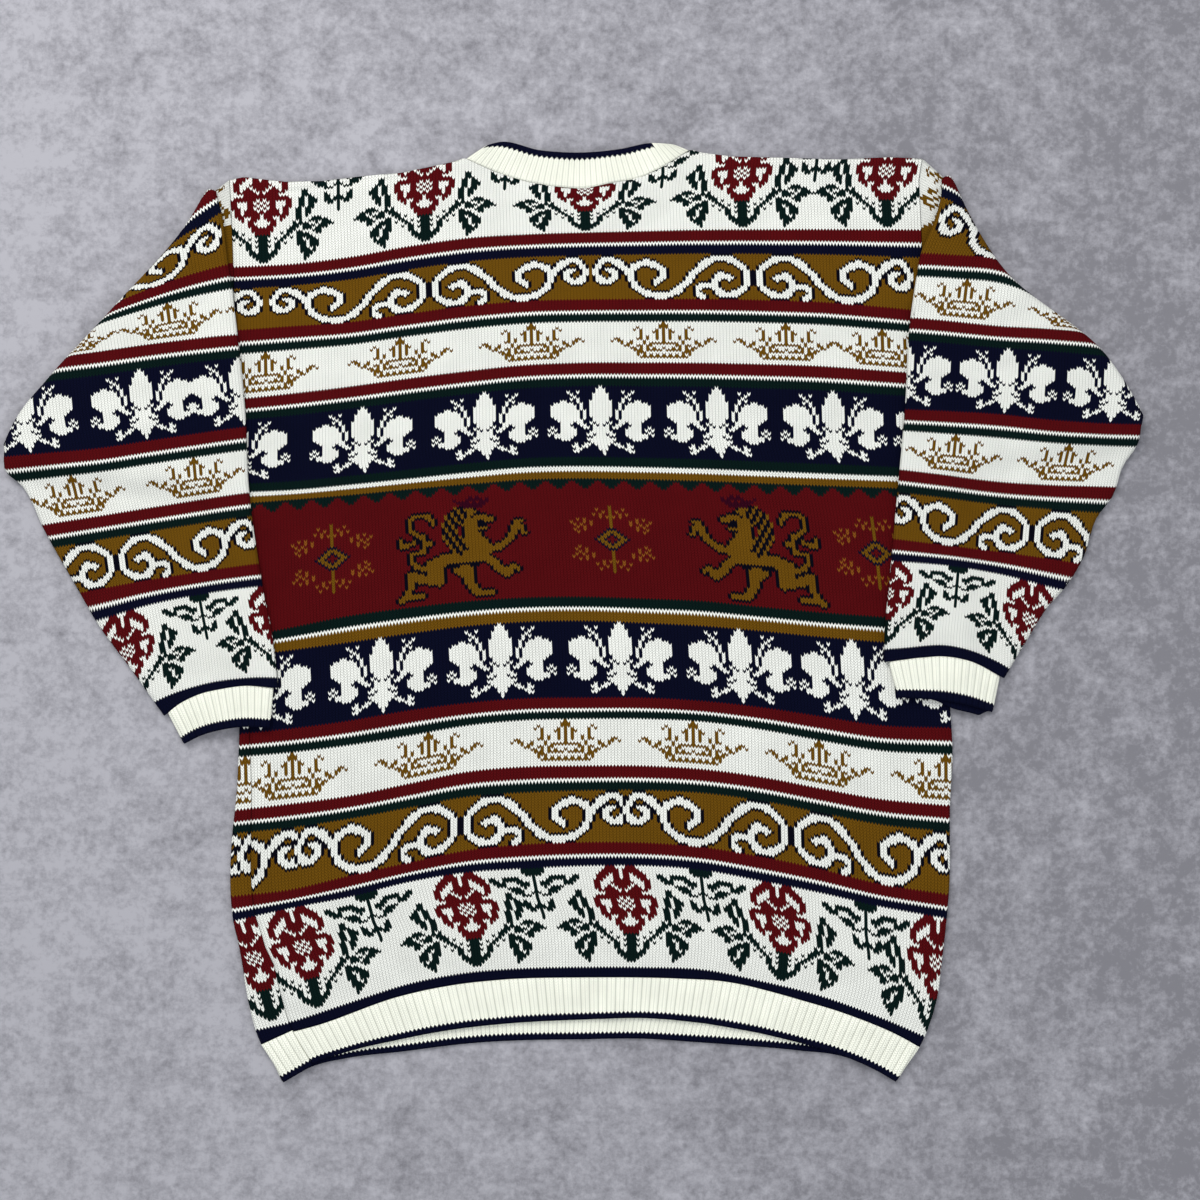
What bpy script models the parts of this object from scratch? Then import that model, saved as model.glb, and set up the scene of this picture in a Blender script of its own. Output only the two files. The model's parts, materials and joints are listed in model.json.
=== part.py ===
"""A pullover sweater, laid flat with its back up and both sleeves folded over onto it.

Every piece that is knitted and sewn on is one closed solid: a wall of cloth through rows of
points, worked out from the sizes and the short tables below. Sizes are in millimetres and become
metres when a mesh is made. +X runs across the sweater, +Y towards its neck, +Z up, and z = 0 is
the surface that it lies on. The front lies underneath. At the left edge the front turns up over
the back as far as the side seam, and at the right edge the back turns down under the front.
"""
import math

import bmesh
import bpy
import numpy as np

MM = 0.001

# Thickness of the cloth and of the stack that two layers make.
WALL = 2.4
BETWEEN = 0.6
SEAM = 0.3
SEAM_DROP = 0.36
STACK = 2 * WALL + BETWEEN
HALF = STACK / 2
FRONT_LEVEL = WALL / 2
BACK_LEVEL = FRONT_LEVEL + WALL + BETWEEN
TURN = (WALL + BETWEEN) / 2
HALF_TURN = math.pi * TURN
QUARTER_TURN = HALF_TURN / 2

# A folded sleeve rests on its own root and on the side of the body, and drops to the floor
# beyond them.
ON_TOP = 0.6
LIFT = STACK + ON_TOP
FOLD = LIFT / 2
DROP_START = 8.0
DROP_WIDTH = 26.0

# Ribbing, with one ridge for each rib. It starts plain at the seam.
RIB_RISE = 0.9
RIB_START = 0.12
HEM_RIBS = 71
NECK_RIBS = 38
CUFF_RIBS = 14
CUFF_GATHER = 4.0

# Rows under the arms in which the side closes, and the least width of cloth past the turn.
CLOSING_ROWS = 4
CLOSING_STEP = 5.0
LEAST_TAIL = 1.0
OPEN_STEP = 3.2
SETTLE_STEPS = 8


def table(columns, *rows):
    """A short table as one array for each named column."""
    return dict(zip(columns.split(), np.array(rows, float).T))


# Edges of the body, as seen from above.
SHOULDERS = table(
    "x y",
    (-292, 368), (-280, 370.5), (-246, 366.5), (-215, 367), (-181, 371), (-147, 374), (-113, 381),
    (-91, 386), (99, 393), (112, 391), (135, 388), (176, 387), (227, 385.5), (270, 387.5), (297, 386),
)
NECK_BACK = table(
    "x y",
    (-91, 386), (-71, 377), (-45, 368), (-20, 363), (10, 361), (36, 366), (57, 370), (74, 378),
    (99, 393),
)
NECK_FRONT = table(
    "x y",
    (-91, 386), (-82, 352), (-58, 318), (-25, 298), (8, 293), (38, 298), (66, 316), (88, 350),
    (99, 393),
)
NECK_BLEND = 8.0
LEFT_SIDE = table(
    "y x",
    (-399, -247), (-363, -267), (-322, -278), (-302, -281), (-280, -285), (-263, -289), (-245, -291),
    (-189, -290), (-161, -287), (-103, -284), (11, -286), (119, -287),
)
RIGHT_SIDE = table(
    "y x",
    (-399, 275), (-367, 296), (-327, 310), (-297, 314), (-261, 318), (-237, 320), (-161, 321),
    (-118, 323), (-81, 321), (11, 318), (96, 310), (140, 303),
)
LEFT_ARMHOLE = table("y x", (119, -287), (181, -286.5), (306, -289), (351, -291), (368, -292))
RIGHT_ARMHOLE = table("y x", (140, 303), (223, 300), (327, 296), (367, 294), (386, 297))
# How far each side seam lies in from the edge: on top at the left, underneath at the right.
SIDE_SEAM = table(
    "y left right",
    (-382, 30, 28), (-340, 29, 28), (-306, 27, 25), (-289, 22, 22), (-254, 19, 20), (-198, 17, 18),
    (-108, 9, 12), (11, 6, 8), (79, 4.5, 5), (119, 1, 1),
)

# Rows of knitting that arch across the body.
UNDERARM = table("x y", (-290, 119), (-150, 132), (0, 137), (150, 138), (303, 140))
HEM_SEAM = table(
    "x y",
    (-267, -368), (-249, -360), (-215, -350), (-147, -326), (-105, -317), (-62, -312), (10, -310),
    (91, -311), (125, -313), (193, -329), (235, -342), (278, -360), (296, -370),
)
HEM_TIP = table(
    "x y",
    (-247, -400), (-224, -385), (-190, -373), (-147, -363), (-105, -355), (-62, -350), (10, -346),
    (65, -345), (108, -349), (150, -356), (193, -366), (235, -379), (261, -391), (276, -400),
)
# The front hangs out below the back in the middle of the hem.
HEM_SLIP = table(
    "x slip",
    (-247, 0), (-190, 6), (-147, 11), (-62, 15), (20, 17.5), (108, 17), (193, 7), (225, 1.5), (242, 0), (276, 0),
)

# Tips of the neckband, from the left end of the band to the right.
BAND_TIP_BACK = table(
    "x y", (-74, 397), (-62, 400), (-28, 393), (6, 391), (40, 394), (66, 399), (86, 398)
)
BAND_TIP_FRONT = table(
    "x y", (-74, 397), (-66, 370), (-40, 338), (-10, 324), (10, 322), (34, 325), (58, 340), (78, 370),
    (86, 398),
)

# Soft swells where the back doesn't lie quite flat.
BODY_SWELLS = table(
    "x y long across turn rise",
    (-60, 235, 110, 22, 4, 1.3), (110, 60, 90, 30, -8, 1.5), (-110, -60, 80, 28, 20, 1.4),
    (150, -150, 80, 26, -24, 1.6), (10, -190, 110, 24, 6, 1.2), (0, 130, 80, 26, 70, 1.1),
    (-120, 140, 70, 18, 35, 1.0),
)

# Left sleeve: its diagonal fold, the edge along the top of the arm, the underarm edge and the
# seam with the cuff, then the cuff's tip. Each is the outermost line of the cloth.
LEFT_FOLD = table("x y", (-311, 360), (-326, 334), (-391, 259), (-447, 198), (-472, 167), (-485, 141))
LEFT_TOP_OF_ARM = table(
    "x y", (-304, 356), (-298, 343), (-295, 324), (-292, 298), (-289, 281), (-286, 255), (-277, 164),
    (-275, 113), (-262, 19), (-254, -23), (-250, -62),
)
LEFT_UNDERARM_EDGE = table(
    "x y", (-481, 136), (-482, 117), (-470, 106), (-449, 66), (-417, 11), (-406, -8), (-377, -47),
    (-348, -87),
)
LEFT_CUFF_SEAM = table("x y", (-250, -64), (-279, -62), (-300, -65), (-317, -69), (-334, -77), (-348, -88))
LEFT_CUFF_TIP = table("x y", (-257, -98), (-279, -97), (-300, -100), (-317, -105), (-331, -112))

# Right sleeve, in the same order.
RIGHT_FOLD = table("x y", (322, 371), (336, 340), (363, 296), (456, 215), (471, 193), (486, 166))
RIGHT_TOP_OF_ARM = table(
    "x y", (311, 362), (305, 335), (298, 316), (292, 302), (288, 280), (282, 232), (280, 181),
    (272, 79), (268, 28), (264, -20), (264, -42),
)
RIGHT_UNDERARM_EDGE = table(
    "x y", (482, 160), (480, 140), (468, 121), (459, 96), (446, 79), (434, 45), (419, 21), (405, 6),
    (388, -20), (367, -54),
)
RIGHT_CUFF_SEAM = table("x y", (264, -42), (295, -38), (316, -37), (337, -41), (367, -56))
RIGHT_CUFF_TIP = table("x y", (276, -72), (295, -73), (316, -75), (337, -79), (357, -85))

# Soft folds of the sleeves, across the arm.
SLEEVE_SWELLS = table(
    "x y long across turn rise",
    (-380, 150, 70, 14, 30, 1.4), (-330, 60, 60, 16, 16, 1.2), (-330, -10, 50, 12, 18, 1.0),
    (395, 175, 70, 14, -28, 1.4), (350, 90, 60, 16, -14, 1.2), (330, 0, 50, 12, -16, 1.0),
)

# Numbers of rows and columns of points. Body rows are counted above and below the closing rows,
# and body columns to the left of the neck, across it and to its right.
LINE_POINTS = 400
END_CHORD = 5
SHOULDER_ROWS = 3
BODY_ROWS = (10, 14)
BACK_COLUMNS = (7, 10, 6)
FRONT_COLUMNS = (3, 12, 3)
EDGE_COLUMNS = 7
EDGE_BAND = 14.0
SLEEVE_COLUMNS = BODY_ROWS[0] + 1
ROOT_STATIONS = 3
FOLD_STATIONS = 4
SLEEVE_STATIONS = 13
ARC_ANGLES = np.radians((45, 90, 135))
UP = np.array((0.0, 0.0, 1.0))

IVORY = (0.80, 0.79, 0.72)
CREAM = (0.86, 0.84, 0.72)


# ---- curves and walls -----------------------------------------------------------------------


def smooth(at, xs, ys):
    """The smooth curve through the points (xs, ys), read at the values `at`."""
    slope = np.gradient(ys, xs)
    i = np.clip(np.searchsorted(xs, at) - 1, 0, len(xs) - 2)
    step = xs[i + 1] - xs[i]
    t = np.clip((at - xs[i]) / step, 0, 1)
    start = (1 + 2 * t) * (1 - t) ** 2 * ys[i] + t * (1 - t) ** 2 * step * slope[i]
    end = t * t * (3 - 2 * t) * ys[i + 1] - t * t * (1 - t) * step * slope[i + 1]
    return start + end


def ease(t):
    """0 to 1 with a soft start and a soft end."""
    t = np.clip(t, 0, 1)
    return t * t * (3 - 2 * t)


def run_along(points):
    """Distance along a line of points, from its start to each point."""
    return np.concatenate([[0], np.cumsum(np.hypot(*np.diff(points, axis=0).T))])


def path(edge, shares, trim=0.0):
    """Points of a curve given by a table, at shares of what is left once its ends are trimmed."""
    points = np.column_stack([edge["x"], edge["y"]])
    run = run_along(points)
    at = trim + np.asarray(shares) * (run[-1] - 2 * trim)
    return np.column_stack([smooth(at, run, points[:, 0]), smooth(at, run, points[:, 1])])


def resampled(line, shares, trim=0.0):
    """Points of a line of straight pieces, in 2-D or 3-D, at shares of its length in plan."""
    run = run_along(line[:, :2])
    at = trim + np.asarray(shares) * (run[-1] - 2 * trim)
    return np.column_stack([np.interp(at, run, values) for values in line.T])


def beside(line, distance):
    """A line in plan moved to its own left by a distance."""
    along = unit(np.gradient(line, axis=0))
    return line + distance * np.column_stack([-along[:, 1], along[:, 0]])


def unit(vectors):
    """Vectors brought to length 1."""
    return vectors / np.linalg.norm(vectors, axis=-1, keepdims=True)


def swell(x, y, swells):
    """Height of the soft folds at a place."""
    rise = np.zeros_like(x)
    for x0, y0, long, across, turn, high in zip(*swells.values()):
        c, s = math.cos(math.radians(turn)), math.sin(math.radians(turn))
        along = (x - x0) * c + (y - y0) * s
        over = (y - y0) * c - (x - x0) * s
        rise = rise + high * np.exp(-((along / long) ** 2) - (over / across) ** 2)
    return rise


def turned(beyond, offset, up):
    """How far out and how far up a point goes where cloth turns over an edge.

    `beyond` is its distance past the start of the turn, and `offset` its height above the middle
    of the wall. The wall turns up with up = 1 and down with up = -1, and lies flat past the turn.
    """
    angle = np.clip(beyond / TURN, 0, math.pi)
    tail = np.maximum(beyond - HALF_TURN, 0)
    radius = TURN - up * offset
    return radius * np.sin(angle) - tail, up * (TURN - radius * np.cos(angle))


def solid(name, outer, inner, color, ring=False):
    """A closed wall between two grids of points. A ring has no side edges."""
    rows, columns = outer.shape[:2]
    number = np.arange(rows * columns).reshape(rows, columns)
    if ring:
        number = np.hstack([number, number[:, :1]])
    corners = number[:-1, :-1], number[:-1, 1:], number[1:, 1:], number[1:, :-1]
    skin = np.stack(corners, -1).reshape(-1, 4)
    under = rows * columns
    faces = [skin, skin[:, ::-1] + under]
    borders = [number[0], number[-1, ::-1]]
    if not ring:
        borders += [number[::-1, 0], number[:, -1]]
    for border in borders:
        faces.append(np.stack([border[1:], border[:-1], border[:-1] + under, border[1:] + under], -1))
    points = np.concatenate([outer.reshape(-1, 3), inner.reshape(-1, 3)]) * MM
    mesh = bpy.data.meshes.new(name)
    mesh.from_pydata(points.tolist(), [], np.concatenate(faces).tolist())
    shell = bmesh.new()
    shell.from_mesh(mesh)
    bmesh.ops.recalc_face_normals(shell, faces=shell.faces)
    shell.to_mesh(mesh)
    shell.free()
    mesh.shade_smooth()
    mesh.materials.append(color)
    piece = bpy.data.objects.new(name, mesh)
    bpy.context.collection.objects.link(piece)
    return piece


def wool(name, color):
    """Plain wool of one colour."""
    material = bpy.data.materials.new(name)
    material.use_nodes = True
    shader = material.node_tree.nodes["Principled BSDF"]
    shader.inputs["Base Color"].default_value = (*color, 1)
    shader.inputs["Roughness"].default_value = 0.9
    shader.inputs["Metallic"].default_value = 0
    return material


# ---- the body: rows of knitting that run from edge to edge ----------------------------------


def on_shoulder(x):
    """1 along the shoulders and 0 along the neckline."""
    left, right = NECK_BACK["x"][0], NECK_BACK["x"][-1]
    return np.where(x < 0, ease((left - x) / NECK_BLEND), ease((x - right) / NECK_BLEND))


def top_line(x, neck):
    """Where the shoulders start to turn, and where the neckline is cut."""
    shoulder = np.interp(x, SHOULDERS["x"], SHOULDERS["y"])
    cut = smooth(np.clip(x, neck["x"][0], neck["x"][-1]), neck["x"], neck["y"]) - SEAM
    at_neck = (x > neck["x"][0]) & (x < neck["x"][-1])
    return np.where(at_neck, cut, shoulder) - HALF * on_shoulder(x)


def row_ends(line, closed):
    """Left and right end of a row: at the armholes, or where the closed sides start to turn."""
    x = np.array([LEFT_SIDE["x"][-1], RIGHT_SIDE["x"][-1]])
    for _ in range(SETTLE_STEPS):
        y = line(x)
        if closed:
            left = smooth(y[0], LEFT_SIDE["y"], LEFT_SIDE["x"]) + HALF * closed
            right = smooth(y[1], RIGHT_SIDE["y"], RIGHT_SIDE["x"]) - HALF * closed
        else:
            left = np.interp(y[0], LEFT_ARMHOLE["y"], LEFT_ARMHOLE["x"])
            right = np.interp(y[1], RIGHT_ARMHOLE["y"], RIGHT_ARMHOLE["x"])
        x = np.array([left, right])
    return x


def row_points(line, closed):
    """Points along a row between its ends, with the distance along it."""
    left, right = row_ends(line, closed)
    x = np.linspace(left, right, LINE_POINTS)
    points = np.column_stack([x, line(x)])
    return points, run_along(points)


def seam_in(y, side, closed):
    """Width of the cloth that lies past the turn, up to the side seam."""
    return max(np.interp(y, SIDE_SEAM["y"], SIDE_SEAM[side]) - HALF, LEAST_TAIL) * closed


def edge_columns(tail, closed):
    """Distances past the turn's start, as minus values, for the columns at an edge that turns."""
    first = -(closed * HALF_TURN + tail - SEAM / 2)
    quarter = np.arange(EDGE_COLUMNS - 2) / (EDGE_COLUMNS - 3)
    rolled = -closed * HALF_TURN * (1 - quarter)
    spaced = (1 - closed) * (LEAST_TAIL + OPEN_STEP * quarter)
    turn = rolled + spaced
    return np.concatenate([[first, (first + turn[0]) / 2], turn])


def neck_columns(points, run, start, end, numbers):
    """Distances along a row: up to the left end of the neck, across the neck, and past it."""
    left, right = np.interp([NECK_BACK["x"][0], NECK_BACK["x"][-1]], points[:, 0], run)
    return np.concatenate([
        np.linspace(start, left - NECK_BLEND, numbers[0]),
        np.linspace(left, right, numbers[1]),
        np.linspace(right + NECK_BLEND, end, numbers[2]),
    ])


def back_columns(points, run, closed):
    """Distances of the back's columns: from the seam on top at the left, turning at the right."""
    start = seam_in(points[0, 1], "left", closed) + SEAM / 2
    edge = run[-1] - edge_columns(seam_in(points[-1, 1], "right", closed), closed)[::-1]
    inside = neck_columns(points, run, start, run[-1] - EDGE_BAND, BACK_COLUMNS)
    return np.concatenate([inside, edge])


def front_columns(points, run, closed):
    """Distances of the front's columns: turning at the left, to the seam beneath at the right."""
    edge = edge_columns(seam_in(points[0, 1], "left", closed), closed)
    end = run[-1] - seam_in(points[-1, 1], "right", closed) - SEAM / 2
    return np.concatenate([edge, neck_columns(points, run, EDGE_BAND, end, FRONT_COLUMNS)])


def lay(points, run, s, offset, level, up):
    """3-D points at distances s along a row, which turns over the edge before 0 and past its end."""
    inside = np.clip(s, 0, run[-1])
    place = resampled(points, inside / run[-1])
    ends = unit(np.array([points[0] - points[END_CHORD], points[-1] - points[-1 - END_CHORD]]))
    direction = np.where((s < run[-1] / 2)[:, None], ends[0], ends[1])
    beyond = np.maximum(np.maximum(-s, s - run[-1]), 0)
    out, high = turned(beyond, offset, up)
    return np.column_stack([place + direction * out[:, None], level + high])


def over_shoulder(row, past, offset, level, up):
    """The same row carried over the top of the shoulder by the distance `past`."""
    out, high = turned(past, offset, up)
    over = past > 0
    row[:, 1] += np.where(over, out, 0)
    row[:, 2] = np.where(over, level + high - up * SEAM / 2 * past / QUARTER_TURN, row[:, 2])
    return row


def panel_lines(neck, hem):
    """The rows of a panel from top to bottom: (line, share closed, distance over the shoulder)."""
    above, below = BODY_ROWS
    step = QUARTER_TURN / (SHOULDER_ROWS - 1)
    lines = []
    for k in range(SHOULDER_ROWS):
        past = lambda x, k=k: QUARTER_TURN * on_shoulder(x) - k * step
        line = lambda x, past=past: top_line(x, neck) + np.minimum(past(x), 0)
        lines.append((line, 0.0, past))
    top = lines[-1][0]
    underarm = lambda x: smooth(x, UNDERARM["x"], UNDERARM["y"])
    closed = lambda x: underarm(x) - CLOSING_ROWS * CLOSING_STEP
    for share in np.arange(1, above + 1) / above:
        lines.append((lambda x, v=share: top(x) * (1 - v) + underarm(x) * v, 0.0, None))
    for k in range(1, CLOSING_ROWS + 1):
        lines.append((lambda x, drop=k * CLOSING_STEP: underarm(x) - drop, k / CLOSING_ROWS, None))
    for share in np.arange(1, below + 1) / below:
        lines.append((lambda x, v=share: closed(x) * (1 - v) + hem(x) * v, 1.0, None))
    return lines


def panel(lines, columns, level, up, swells):
    """The two faces of a panel of the body, as grids of points."""
    faces = []
    for offset in (WALL / 2, -WALL / 2):
        rows = []
        for line, closed, past in lines:
            points, run = row_points(line, closed)
            row = lay(points, run, columns(points, run, closed), offset, level, up)
            if past is not None:
                row = over_shoulder(row, np.maximum(past(row[:, 0]), 0), offset, level, up)
            if swells is not None:
                flat = np.isclose(row[:, 2], level + offset)
                row[:, 2] += np.where(flat, swell(row[:, 0], row[:, 1], swells), 0)
            rows.append(row)
        faces.append(np.array(rows))
    return faces


def slip(x):
    """How much further down the front's hem lies than the back's."""
    return smooth(x, HEM_SLIP["x"], HEM_SLIP["slip"])


def back_hem(x):
    """The seam of the back and its rib."""
    return smooth(x, HEM_SEAM["x"], HEM_SEAM["y"])


def front_hem(x):
    """The seam of the front and its rib."""
    return back_hem(x) - slip(x)


def back_tip(x):
    """The lower edge of the back's rib."""
    return smooth(x, HEM_TIP["x"], HEM_TIP["y"])


def front_tip(x):
    """The lower edge of the front's rib."""
    return back_tip(x) - slip(x)


def rib_rows(seam, tip, ridges, rise):
    """Three rows of a rib: plain at the seam, then ribbed from a little below it to the tip."""
    start = seam * (1 - RIB_START) + tip * RIB_START
    for row in (start, tip):
        row[ridges, 2] += rise
    return np.array([seam, start, tip])


def hem_rib_back(panel_faces, color):
    """The back's rib: ridges on top, plain where it turns under at the right."""
    shares = np.linspace(0, 1, 2 * HEM_RIBS + 1)
    ridges = np.arange(1, 2 * HEM_RIBS, 2)
    points, run = row_points(back_tip, 1.0)
    start = seam_in(points[0, 1], "left", 1.0) + SEAM / 2
    edge = run[-1] - edge_columns(seam_in(points[-1, 1], "right", 1.0), 1.0)[::-1][1:]
    s = np.concatenate([start + shares * (run[-1] - start), edge])
    faces = []
    for rows, offset, rise in zip(panel_faces, (WALL / 2, -WALL / 2), (RIB_RISE, 0)):
        flat, rolled = rows[-1, :1 - EDGE_COLUMNS], rows[-1, 1 - EDGE_COLUMNS:]
        seam = np.concatenate([resampled(flat, shares), rolled]) - (0, SEAM_DROP, 0)
        faces.append(rib_rows(seam, lay(points, run, s, offset, BACK_LEVEL, -1), ridges, rise))
    solid("hem_rib_back", *faces, color)


def hem_rib_front(panel_faces, color):
    """The front's rib, flat on the floor. It turns up over the back's rib at the left."""
    points, run = row_points(front_tip, 1.0)
    s = front_columns(points, run, 1.0)
    faces = []
    for rows, offset in zip(panel_faces, (WALL / 2, -WALL / 2)):
        seam = rows[-1] - (0, SEAM_DROP, 0)
        faces.append(rib_rows(seam, lay(points, run, s, offset, FRONT_LEVEL, 1), [], 0))
    solid("hem_rib_front", *faces, color)


# ---- flattened tubes: neckband, sleeves and cuffs -------------------------------------------


def section(top, bottom, normal, radius, rise=0.0):
    """Points round one section of a flattened tube whose flat sides follow `top` and `bottom`.

    Both run from the tube's first edge to its second, at the height of the tube's middle, and the
    cloth stands off them by a radius along the normal. `rise` lifts every second point on top.
    """
    normals = np.broadcast_to(normal, top.shape)
    above = top + normals * radius
    above[1::2] += normals[1::2] * rise
    below = bottom - np.broadcast_to(normal, bottom.shape) * radius
    arcs = []
    for end, away, sign in ((-1, top[-1] - top[-2], 1), (0, top[0] - top[1], -1)):
        side, up = np.sin(ARC_ANGLES)[:, None], sign * np.cos(ARC_ANGLES)[:, None]
        arcs.append(top[end] + radius * (side * unit(away) + up * normals[end]))
    return np.concatenate([above, arcs[0], below[::-1], arcs[1]])


def neckband(back_faces, front_faces, color):
    """The neckband: its ribbed half is on top, and its front half lies beneath the back panel."""
    fine = np.linspace(0, 1, 2 * NECK_RIBS + 1)
    coarse = np.linspace(0, 1, FRONT_COLUMNS[1])
    back_edge = back_faces[0][0, BACK_COLUMNS[0]:BACK_COLUMNS[0] + BACK_COLUMNS[1], :2]
    first = EDGE_COLUMNS + FRONT_COLUMNS[0]
    front_edge = front_faces[0][0, first:first + FRONT_COLUMNS[1], :2]
    seam_top = resampled(beside(back_edge, SEAM_DROP), fine, HALF + SEAM)
    seam_bottom = beside(front_edge, SEAM_DROP)
    tip_top, tip_bottom = path(BAND_TIP_BACK, fine, HALF), path(BAND_TIP_FRONT, coarse, HALF)
    faces = []
    for radius, rise in ((HALF, RIB_RISE), (BETWEEN / 2, 0)):
        rows = []
        for share in (0, RIB_START, 1):
            top = seam_top * (1 - share) + tip_top * share
            bottom = seam_bottom * (1 - share) + tip_bottom * share
            bottom[0], bottom[-1] = top[0], top[-1]
            lines = [np.column_stack([line, np.full(len(line), HALF)]) for line in (top, bottom)]
            rows.append(section(*lines, UP, radius, rise * (share > 0)))
        faces.append(np.array(rows))
    solid("neckband", *faces, color, ring=True)


def beyond_support(x, y, side):
    """How far a place of a folded sleeve lies past both the body and the sleeve's own root."""
    body, armhole, fold = (LEFT_SIDE, LEFT_ARMHOLE, LEFT_FOLD) if side < 0 else (
        RIGHT_SIDE, RIGHT_ARMHOLE, RIGHT_FOLD)
    off_body = side * (x - smooth(y, body["y"], body["x"]))
    share = (x - armhole["x"][0]) / (fold["x"][-1] - armhole["x"][0])
    underarm_line = armhole["y"][0] + share * (fold["y"][-1] - armhole["y"][0])
    return np.minimum(off_body, underarm_line - y)


def laid_level(x, y, side):
    """Height of a folded sleeve's middle: on top of its root and the body, or down on the floor."""
    drop = LIFT * ease((beyond_support(x, y, side) - DROP_START) / DROP_WIDTH)
    return HALF + LIFT - drop + swell(x, y, SLEEVE_SWELLS)


def between_edges(s, side, bend, end, top_of_arm, underarm_edge):
    """Plan points across the folded sleeve, fitted to its four edges."""
    ends = np.array([0, s, 1])
    inset = np.array([side * HALF, 0])
    first, last = path(top_of_arm, ends) + inset, path(underarm_edge, ends) - inset
    across = np.linspace(0, 1, SLEEVE_COLUMNS)[:, None]
    near, straight, far = first[:, None] * (1 - across) + last[:, None] * across
    return straight + (1 - s) * (bend - near) + s * (end - far)


def sleeve_stations(side, start, bend, end, top_of_arm, underarm_edge):
    """The middle of a sleeve from the armhole to the cuff, as lines across it with normals."""
    flat = np.zeros((SLEEVE_COLUMNS, 1))
    outward = side * (beside(bend, 1.0) - bend)
    for share in np.arange(ROOT_STATIONS) / ROOT_STATIONS:
        yield np.hstack([start * (1 - share) + bend * share, flat + HALF]), UP
    for angle in np.linspace(0, math.pi, FOLD_STATIONS + 1):
        place = bend + outward * FOLD * math.sin(angle)
        height = HALF + FOLD * (1 - math.cos(angle))
        normal = np.hstack([-outward * math.sin(angle), flat + math.cos(angle)])
        yield np.hstack([place, flat + height]), normal
    for s in np.arange(1, SLEEVE_STATIONS + 1) / SLEEVE_STATIONS:
        place = between_edges(s, side, bend, end, top_of_arm, underarm_edge)
        yield np.column_stack([place, laid_level(*place.T, side)]), -UP


def sleeve(side, body_edge, fold, top_of_arm, underarm_edge, cuff_seam, color):
    """A sleeve, rolled over along its diagonal fold. Returns its end in plan for the cuff."""
    shares = np.linspace(0, 1, SLEEVE_COLUMNS)
    start = body_edge + (side * SEAM_DROP, 0)
    start[-1] += HALF * unit(start[-2] - start[-1])
    bend = beside(path(fold, shares, HALF), -side * (FOLD + HALF))
    end = path(cuff_seam, shares, HALF)
    faces = [[], []]
    for middle, normal in sleeve_stations(side, start, bend, end, top_of_arm, underarm_edge):
        for face, radius in zip(faces, (HALF, BETWEEN / 2)):
            face.append(section(middle, middle, normal, radius))
    solid("sleeve_left" if side < 0 else "sleeve_right", *map(np.array, faces), color, ring=True)
    return end


def cuff(side, sleeve_end, tip, color):
    """A ribbed cuff: ridges on top, plain beneath where it lies on the body and the floor."""
    shares = np.linspace(0, 1, 2 * CUFF_RIBS + 1)
    seam = beside(resampled(sleeve_end, shares, CUFF_GATHER), -side * SEAM_DROP)
    edge = path(tip, shares, HALF)
    faces = []
    for radius, rise in ((HALF, RIB_RISE), (BETWEEN / 2, 0)):
        rows = []
        for share in (0, RIB_START, 1):
            place = seam * (1 - share) + edge * share
            middle = np.column_stack([place, laid_level(*place.T, side)])
            rows.append(section(middle, middle, UP, radius, rise * (share > 0)))
        faces.append(np.array(rows))
    solid("cuff_left" if side < 0 else "cuff_right", *faces, color, ring=True)


def build():
    """The whole sweater."""
    for old in list(bpy.data.objects):
        bpy.data.objects.remove(old)
    knit, rib = wool("patterned_knit", IVORY), wool("rib_knit", CREAM)
    back = panel(panel_lines(NECK_BACK, back_hem), back_columns, BACK_LEVEL, -1, BODY_SWELLS)
    front = panel(panel_lines(NECK_FRONT, front_hem), front_columns, FRONT_LEVEL, 1, None)
    solid("back_panel", *back, knit)
    solid("front_panel", *front, knit)
    hem_rib_back(back, rib)
    hem_rib_front(front, rib)
    neckband(back, front, rib)
    armhole = slice(SHOULDER_ROWS - 1, SHOULDER_ROWS + BODY_ROWS[0])
    left_end = sleeve(-1, back[0][armhole, 0, :2], LEFT_FOLD, LEFT_TOP_OF_ARM, LEFT_UNDERARM_EDGE,
                      LEFT_CUFF_SEAM, knit)
    right_end = sleeve(1, back[0][armhole, -1, :2], RIGHT_FOLD, RIGHT_TOP_OF_ARM,
                       RIGHT_UNDERARM_EDGE, RIGHT_CUFF_SEAM, knit)
    cuff(-1, left_end, LEFT_CUFF_TIP, rib)
    cuff(1, right_end, RIGHT_CUFF_TIP, rib)


build()
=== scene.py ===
# %% [markdown]
# # A patterned pullover, laid flat
# A knitted pullover lies on its front on a pale floor, with both sleeves folded over onto its back.
# Each piece that was knitted and sewn on is one mesh here, with one face for each stitch, so the
# pattern can be worked in yarn by yarn, the way a knitter works from a chart.

import json
import math

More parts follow.
